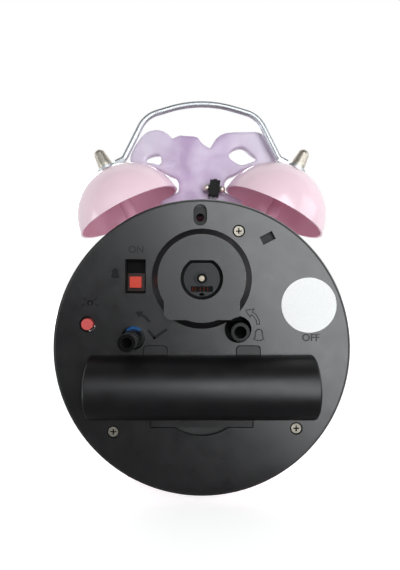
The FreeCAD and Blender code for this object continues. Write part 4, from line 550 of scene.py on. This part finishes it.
# One finish for each material slot
FINISHES = {
    "cover": cover_finish(),
    "door": moulded("door_charcoal", CHARCOAL, 0.4, grain=1400, relief=0.008 * MM,
                    Specular_IOR_Level=0.58),
    "knob": knob_finish(),
    "black_plastic": moulded("plastic_black", shade(12, 11, 12), 0.48, Specular_IOR_Level=0.35),
    "white_plastic": moulded("plastic_white", shade(236, 235, 230), 0.45, spread=0.03),
    "blue_plastic": collar_finish(),
    "red_plastic": red_finish(),
    "pink_paint": case_finish(PINK),
    "bronze": plated("plating_bronze", shade(205, 198, 186), 0.38),
    "steel": plated("steel_bright", shade(209, 213, 217), 0.42, stretch=(1.0, 0.2, 1.0),
                    spread=0.04, relief=0.002 * MM),
    "zinc": plated("zinc_plate", shade(196, 198, 198), 0.34),
    "lilac_plastic": crest_finish(),
    "paper": paper_finish(),
    "dial_white": dial_finish(),
    "hand_black": moulded("hand_black_paint", shade(26, 26, 28), 0.35),
    "hand_red": moulded("hand_red_paint", shade(208, 48, 44), 0.35, spread=0.05),
    "lens_clear": lens_finish(),
    "clear_lamp": moulded("lamp_clear", shade(225, 233, 240), 0.12, spread=0.03,
                          Transmission_Weight=0.7),
    "board_green": moulded("board_mask", shade(40, 110, 66), 0.4),
    "copper": plated("copper_wire", shade(196, 120, 74), 0.35, stretch=(1.0, 8.0, 1.0)),
    "brass": plated("brass_turned", shade(212, 182, 118), 0.3),
    "magnet": moulded("ferrite", shade(62, 62, 66), 0.6, spread=0.2),
    "cell_sleeve": moulded("cell_print", shade(120, 126, 134), 0.35),
    "rubber": moulded("foot_rubber", shade(38, 38, 38), 0.75),
}
BELL_PAINT = bell_finish(PINK, BELL_SHADE_PINK)

# Nodes whose finish differs from that of their slot
OWN_FINISHES = {
    "bell_left": BELL_PAINT,
    "bell_right": BELL_PAINT,
    "bell_sleeves": BELL_PAINT,
    # Black plastic made nearly black by painted shade inside the switch window
    "alarm_switch_body": moulded("switch_black_in_shade", shade(5, 4, 5), 0.5, Specular_IOR_Level=0.12),
    "cover_screws": screw_finish(),
    "motor_end_cap": cap_finish(),
    "hammer_head": moulded("hammer_black", shade(7, 5, 8), 0.5, Specular_IOR_Level=0.2),
    "hammer_balls": plated("ball_steel", shade(240, 232, 220), 0.45, relief=0.002 * MM),
    # Painted shade: the pink inner frame, seen through the hanging hole, made dark maroon
    "inner_frame": moulded("frame_shaded_pink", shade(92, 34, 56), 0.6),
    "hammer_arm": plated("arm_dull", shade(92, 88, 94), 0.45),
    "motor_shaft": plated("shaft_steel", shade(168, 158, 142), 0.42),
}

# Finishes of the added pieces
RELIEF = moulded("symbol_relief", shade(17, 16, 18), 0.5, Specular_IOR_Level=0.3)
CONTACT = plated("contact_copper", shade(96, 44, 28), 0.6)
LETTERS = moulded("letter_relief", shade(13, 12, 14), 0.46, Specular_IOR_Level=0.5)
# A lighter grey for painted highlights on the end cap's edges
CAP_HIGHLIGHT = moulded("cap_highlight_line", shade(58, 61, 65), 0.35)
INK = moulded("dial_ink", shade(40, 38, 42), 0.5)


def dress_nodes():
    """Every node's slots get their finish, and some nodes their own."""
    for node in nodes.values():
        for material_slot in node.material_slots:
            slot_name = material_slot.material.name.split(".")[0]
            material_slot.material = FINISHES[slot_name]
    for name, finish in OWN_FINISHES.items():
        nodes[name].material_slots[0].material = finish


# Pieces

FACING_DIAL = Matrix.Rotation(math.pi / 2, 4, "X")
FACING_REAR = Matrix.Rotation(math.pi, 4, "Z") @ FACING_DIAL


def finish_mesh(build, name, material):
    """The built faces as a piece that rides on the case."""
    bmesh.ops.recalc_face_normals(build, faces=build.faces)
    mesh = bpy.data.meshes.new(name)
    build.to_mesh(mesh)
    build.free()
    piece = bpy.data.objects.new(name, mesh)
    bpy.context.scene.collection.objects.link(piece)
    piece.data.materials.append(material)
    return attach(piece, "case")


def lettering(name, words, spot, size, facing, material, height=LETTER_HEIGHT, bold=0.0):
    """Raised or printed letters, centred on a spot."""
    text = bpy.data.curves.new(name, "FONT")
    text.body = words
    text.size = size
    text.align_x = "CENTER"
    text.align_y = "CENTER"
    text.extrude = height
    text.offset = bold
    text.materials.append(material)
    piece = bpy.data.objects.new(name, text)
    piece.matrix_world = Matrix.Translation(spot) @ facing
    bpy.context.scene.collection.objects.link(piece)
    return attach(piece, "case")


def stroke(build, first, last, width, height):
    """A straight stroke with sloping sides, sunk a little into the surface and past its ends."""
    along = (last - first).normalized()
    side = along.cross(Vector((0, 1, 0))) * width * MM / 2
    tip = along * width * MM * STROKE_TIP
    rows = []
    for share, lift in ((1.0, -SEAT), (STROKE_TOP, height), (-STROKE_TOP, height), (-1.0, -SEAT)):
        shift = side * share + Vector((0, lift * MM, 0))
        rows.append((build.verts.new(first - tip + shift), build.verts.new(last + tip + shift)))
    for (a, b), (c, d) in zip(rows, rows[1:]):
        build.faces.new((a, b, d, c))
    build.faces.new([row[0] for row in rows])
    build.faces.new([row[1] for row in reversed(rows)])


def raised_strokes(name, lines, width, height=SYMBOL_HEIGHT, material=RELIEF,
                   level=COVER_PLANE):
    """A symbol made of raised lines, their points in mm as seen from behind."""
    build = bmesh.new()
    for points in lines:
        spots = [on_cover(x, z, level) for x, z in points]
        for first, last in zip(spots, spots[1:]):
            stroke(build, first, last, width, height)
    return finish_mesh(build, name, material)


def raised_plate(name, points):
    """A flat raised symbol with sloping sides, its outline in mm as seen from behind."""
    build = bmesh.new()
    count = len(points)
    centre_x = sum(x for x, z in points) / count
    centre_z = sum(z for x, z in points) / count
    foot, top = [], []
    levels = (COVER_PLANE - SEAT * MM, COVER_PLANE + SYMBOL_HEIGHT * MM)
    for row, share, level in zip((foot, top), (1.0, PLATE_TOP), levels):
        for x, z in points:
            across = centre_x + share * (x - centre_x)
            up = centre_z + share * (z - centre_z)
            row.append(build.verts.new(on_cover(across, up, level)))
    for index in range(count):
        after = (index + 1) % count
        build.faces.new((foot[index], foot[after], top[after], top[index]))
    build.faces.new(foot)
    build.faces.new(top)
    return finish_mesh(build, name, RELIEF)


def arc(centre, radius, start_angle, end_angle, steps=8):
    """Points in mm on an arc, its angles in degrees."""
    turn = end_angle - start_angle
    angles = [math.radians(start_angle + turn * i / steps) for i in range(steps + 1)]
    return [(centre[0] + radius * math.cos(a), centre[1] + radius * math.sin(a)) for a in angles]


def bell_shape(centre, half_width, height):
    """The outline of a small bell on its lip, drawn in shares of its half width and height."""
    x, z = centre
    dome = arc((x, z + 0.12 * height), 0.68 * half_width, 10, 170)
    right = [(x + half_width, z - 0.38 * height), (x + 0.75 * half_width, z - 0.2 * height)]
    left = [(x - 0.75 * half_width, z - 0.2 * height), (x - half_width, z - 0.38 * height)]
    clapper = [(x - 0.3 * half_width, z - 0.5 * height), (x + 0.3 * half_width, z - 0.5 * height)]
    return right + dome + left + clapper


# Each word on the cover, with its place and its size in mm as seen from behind
COVER_WORDS = (
    ("sign_on", "ON", (-24.8, 37.1), 3.7),
    ("sign_off", "OFF", (41.2, 3.8), 3.8),
)

# The symbols' outlines in mm, as seen from behind
SWITCH_BELL = bell_shape((-32.7, 28.5), 1.7, 4.4)
TIME_ARROW = [
    (-25.0, 13.7), (-22.2, 13.8), (-22.7, 13.1), (-20.9, 12.0), (-19.3, 10.2),
    (-20.0, 9.6), (-21.6, 11.2), (-23.4, 12.3), (-23.9, 11.3),
]
CLOCK_HANDS = [(-20.0, 6.3), (-17.9, 3.8), (-13.5, 6.8)]
ALARM_ARROW = [
    (21.9, 9.0), (21.6, 10.8), (20.3, 12.9), (19.2, 13.5), (19.7, 14.8), (16.6, 14.2),
    (18.3, 11.7), (18.7, 12.6), (19.6, 12.0), (20.6, 10.4), (20.8, 9.0), (21.9, 9.0),
]
ALARM_BELL = bell_shape((21.6, 5.2), 1.9, 4.8)
LIGHT_SIGN = [
    arc((-42.2, 17.0), 0.9, -60, 240, 10),
    [(-45.4, 15.9), (-44.2, 16.6)],
    [(-44.6, 18.8), (-43.6, 18.0)],
    [(-40.8, 18.0), (-39.8, 18.8)],
    [(-40.2, 16.6), (-38.9, 16.0)],
]
BUTTON_GUIDE = arc((-43.2, 9.0), 2.7, -78, -18, 6)


def cover_signs():
    """The raised words and symbols on the cover, and the white guide beside the light button."""
    for name, words, place, size in COVER_WORDS:
        lettering(name, words, on_cover(*place), size * MM, FACING_REAR, LETTERS,
                  bold=LETTER_BOLD)
    raised_plate("sign_switch_bell", SWITCH_BELL)
    raised_plate("sign_time_arrow", TIME_ARROW)
    raised_strokes("sign_clock_hands", [CLOCK_HANDS], width=1.0)
    raised_strokes("sign_alarm_arrow", [ALARM_ARROW], width=0.3, material=LETTERS)
    raised_strokes("sign_alarm_bell", [ALARM_BELL + ALARM_BELL[:1]], width=0.32, material=LETTERS)
    raised_strokes("sign_light", LIGHT_SIGN, width=0.4, height=0.15)
    raised_strokes("button_guide", [BUTTON_GUIDE], width=0.5, height=0.1,
                   material=FINISHES["white_plastic"], level=GUIDE_LEVEL)


def cap_details():
    """Lighter lines as painted highlights round the end cap's face and round the boss at the shaft,
    the contacts, and the notch.
    """
    axis_height = (HUB.z - CLOCK.z) / MM
    axis = (0.0, axis_height)
    corner = math.degrees(math.asin(CAP_FLAT / CAP_RADIUS))
    outline = arc(axis, CAP_RADIUS, 180 - corner, 360 + corner, 40)
    # Painted highlight: a lighter line along the face's edge
    raised_strokes("cap_highlight_line", [outline + outline[:1]], width=0.22, height=0.12,
                   material=CAP_HIGHLIGHT, level=CAP_FACE)
    # Painted highlight: a lighter ring on the boss's edge
    boss = arc(axis, BOSS_RADIUS, 0, 360, 32)
    raised_strokes("cap_boss", [boss], width=0.3, height=0.1,
                   material=CAP_HIGHLIGHT, level=CAP_BOSS_TOP)
    slot_height = axis_height - CONTACT_DROP
    foot, head = slot_height - CONTACT_HALF, slot_height + CONTACT_HALF
    contacts = [[(x, foot), (x, head)] for x in CONTACTS_ACROSS]
    raised_strokes("cap_contacts", contacts, width=0.3, height=0.1,
                   material=CONTACT, level=CAP_SLOT)
    # Painted shade: dark arcs in the notch below the slot
    notch_centre = (0.0, axis_height - NOTCH_DROP)
    outer, inner = NOTCH_RADII
    notch = [arc(notch_centre, outer, 0, 180, 12), arc(notch_centre, inner, 0, 180, 6)]
    raised_strokes("cap_notch", notch, width=0.5, height=0.15,
                   level=CAP_FACE)


def dial_ticks():
    """Sixty printed minute marks, with longer ones at the hours."""
    build = bmesh.new()
    centre = Vector((CLOCK.x, PRINT_FACE, CLOCK.z))
    for minute in range(60):
        turn = Matrix.Rotation(math.radians(6 * minute), 4, "Y")
        half, inner, outer = HOUR_MARK if minute % 5 == 0 else MINUTE_MARK
        corners = [(-half, inner), (half, inner), (half, outer), (-half, outer)]
        mark = [build.verts.new(centre + turn @ Vector((x * MM, 0, z * MM))) for x, z in corners]
        build.faces.new(mark)
    return finish_mesh(build, "dial_ticks", INK)


def dial_numerals():
    """The hours' numbers, printed upright round the dial."""
    for hour in range(1, 13):
        angle = math.radians(30 * hour)
        across = CLOCK.x + NUMERAL_RING * math.sin(angle)
        up = CLOCK.z + NUMERAL_RING * math.cos(angle)
        lettering(f"numeral_{hour}", str(hour), Vector((across, PRINT_FACE, up)), NUMERAL_SIZE,
                  FACING_DIAL, INK, PRINT_HEIGHT)


def softened_copy(node, name):
    """A copy of a node with rounded edges, free of its properties and parent."""
    piece = node.copy()
    piece.name = name
    for key in list(piece.keys()):
        del piece[key]
    piece.parent = None
    bpy.context.scene.collection.objects.link(piece)
    remesh = piece.modifiers.new("Remesh", "REMESH")
    remesh.mode = "VOXEL"
    remesh.voxel_size = VOXEL
    soften = piece.modifiers.new("Soften", "SMOOTH")
    soften.factor = SOFTENING
    soften.iterations = SOFTENING_STEPS
    bpy.context.view_layer.update()
    evaluated = piece.evaluated_get(bpy.context.evaluated_depsgraph_get())
    mesh = bpy.data.meshes.new_from_object(evaluated)
    piece.modifiers.clear()
    piece.data = mesh
    return piece


def pleated(mesh, centre_y):
    """Faint pleats and lumps in both faces, running out from the knot, and a flatter rear face."""
    knot = Vector((KNOT_ACROSS, centre_y, KNOT_HEIGHT))
    flat_back = centre_y + FLAT_BACK
    for vertex in mesh.vertices:
        reach = vertex.co - knot
        angle = math.atan2(reach.z, reach.x)
        side = 1 if vertex.co.y > centre_y else -1
        swell = min(1.0, max(0.0, (math.hypot(reach.x, reach.z) - KNOT_RADIUS) / PLEAT_REACH))
        pleat = 0.5 + 0.5 * math.cos(PLEATS * angle + PLEAT_SWAY * math.sin(2 * angle))
        lump = max(0.0, noise.noise(vertex.co * LUMPS_PER_METRE))
        vertex.co.y -= side * swell * (PLEAT_DEPTH * pleat + LUMP_DEPTH * lump) * MM
        if vertex.co.y > flat_back:
            vertex.co.y = flat_back + FLAT_SLOPE * (vertex.co.y - flat_back)


def soft_crest():
    """The ribbon bow with soft edges and faint pleats, in place of the plain solid."""
    piece = softened_copy(nodes["crest"], "crest_bow")
    mesh = piece.data
    pleated(mesh, middle("crest").y)
    mesh.polygons.foreach_set("use_smooth", [True] * len(mesh.polygons))
    mesh.materials.clear()
    mesh.materials.append(FINISHES["lilac_plastic"])
    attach(piece, "case")
    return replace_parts(piece, "crest")


# Floor, light and camera


def shown_white(tree, path, behind):
    """Rays that see the plain white backdrop: direct, through glass, and mirrored from behind."""
    camera_ray, through_glass = path.outputs["Is Camera Ray"], path.outputs["Is Transmission Ray"]
    direct = maths(tree, "MAXIMUM", camera_ray, through_glass)
    mirrored = maths(tree, "MULTIPLY", path.outputs["Is Glossy Ray"], behind)
    return maths(tree, "MAXIMUM", direct, mirrored)


def floor_finish():
    """A pale sheet that keeps the clock's shadow, with a glow that whitens it where it shows."""
    made = bpy.data.materials.new("floor_sheet")
    made.use_nodes = True
    tree = made.node_tree
    tree.nodes.clear()
    path = tree.nodes.new("ShaderNodeLightPath")
    place = tree.nodes.new("ShaderNodeNewGeometry").outputs["Position"]
    sheet = tree.nodes.new("ShaderNodeBsdfDiffuse")
    tone = mix(tree, path.outputs["Is Glossy Ray"], SHEET_TONE, SHEET_MIRRORED)
    tree.links.new(tone, sheet.inputs["Color"])
    glow = add(tree, "ShaderNodeEmission", Color=WHITE)
    strength = span(tree, away_from(tree, place, CLOCK), GLOW_NEAR, GLOW_FAR, *GLOW_STRENGTHS)
    tree.links.new(strength, glow.inputs["Strength"])
    bright = tree.nodes.new("ShaderNodeAddShader")
    tree.links.new(sheet.outputs[0], bright.inputs[0])
    tree.links.new(glow.outputs[0], bright.inputs[1])
    behind = span(tree, coordinate(tree, place, "Y"), *BACKDROP, 1.0, 0.0)
    seen = tree.nodes.new("ShaderNodeMixShader")
    tree.links.new(shown_white(tree, path, behind), seen.inputs["Fac"])
    tree.links.new(sheet.outputs[0], seen.inputs[1])
    tree.links.new(bright.outputs[0], seen.inputs[2])
    output = tree.nodes.new("ShaderNodeOutputMaterial")
    tree.links.new(seen.outputs[0], output.inputs["Surface"])
    return made


def studio_floor():
    """The sheet under and behind the clock, its front edge out of the camera's view."""
    bpy.ops.mesh.primitive_plane_add(size=SHEET_SIZE)
    floor = bpy.context.object
    floor.name = "floor"
    floor.location.y = SHEET_EDGE - SHEET_SIZE / 2
    floor.data.materials.append(floor_finish())


def studio_world():
    """White to the eye and in reflections from behind; for light, dimmer in front and above."""
    world = bpy.data.worlds.new("studio")
    bpy.context.scene.world = world
    world.use_nodes = True
    tree = world.node_tree
    tree.nodes.clear()
    direction = tree.nodes.new("ShaderNodeTexCoord").outputs["Generated"]
    depth = coordinate(tree, direction, "Y")
    room = span(tree, depth, *ROOM_DEPTHS, *ROOM_LIGHT)
    ceiling = span(tree, coordinate(tree, direction, "Z"), *CEILING_HEIGHTS, *CEILING_LIGHT)
    path = tree.nodes.new("ShaderNodeLightPath")
    white = shown_white(tree, path, span(tree, depth, *BACKDROP, 1.0, 0.0))
    level = maths(tree, "MAXIMUM", maths(tree, "MULTIPLY", room, ceiling), white)
    background = add(tree, "ShaderNodeBackground", Color=WHITE)
    output = tree.nodes.new("ShaderNodeOutputWorld")
    tree.links.new(level, background.inputs["Strength"])
    tree.links.new(background.outputs[0], output.inputs["Surface"])


def soft_light(name, direction, distance, width, height, power, turn):
    """A lamp at a distance from the clock's middle, facing it, turned about its own axis."""
    lamp = bpy.data.lights.new(name, "AREA")
    lamp.shape = "RECTANGLE"
    lamp.size = width
    lamp.size_y = height
    lamp.energy = power
    lamp.color = LAMP_COLOUR
    holder = bpy.data.objects.new(name, lamp)
    aim = Vector(direction).normalized()
    lean = math.radians(turn)
    across = Vector((math.cos(lean), 0.0, math.sin(lean)))
    across = (across - aim * across.dot(aim)).normalized()
    turned = Matrix((across, aim.cross(across), aim)).transposed()
    holder.matrix_world = Matrix.Translation(CLOCK + aim * distance) @ turned.to_4x4()
    bpy.context.scene.collection.objects.link(holder)


def photo_camera():
    """Behind the clock, a little above its middle, looking straight at the cover."""
    data = bpy.data.cameras.new("view")
    data.sensor_fit = "HORIZONTAL"
    data.sensor_width = SENSOR_WIDTH
    data.lens = CAMERA_LENS
    data.clip_start = 10 * MM
    camera = bpy.data.objects.new("view", data)
    camera.location = CAMERA_PLACE
    camera.rotation_euler = (math.pi / 2, 0.0, math.pi)
    bpy.context.scene.collection.objects.link(camera)
    bpy.context.scene.camera = camera


dress_nodes()
cover_signs()
cap_details()
dial_ticks()
dial_numerals()
soft_crest()
studio_floor()
studio_world()
for lamp_values in LAMPS:
    soft_light(*lamp_values)
photo_camera()
bpy.context.scene.view_settings.view_transform = "Standard"
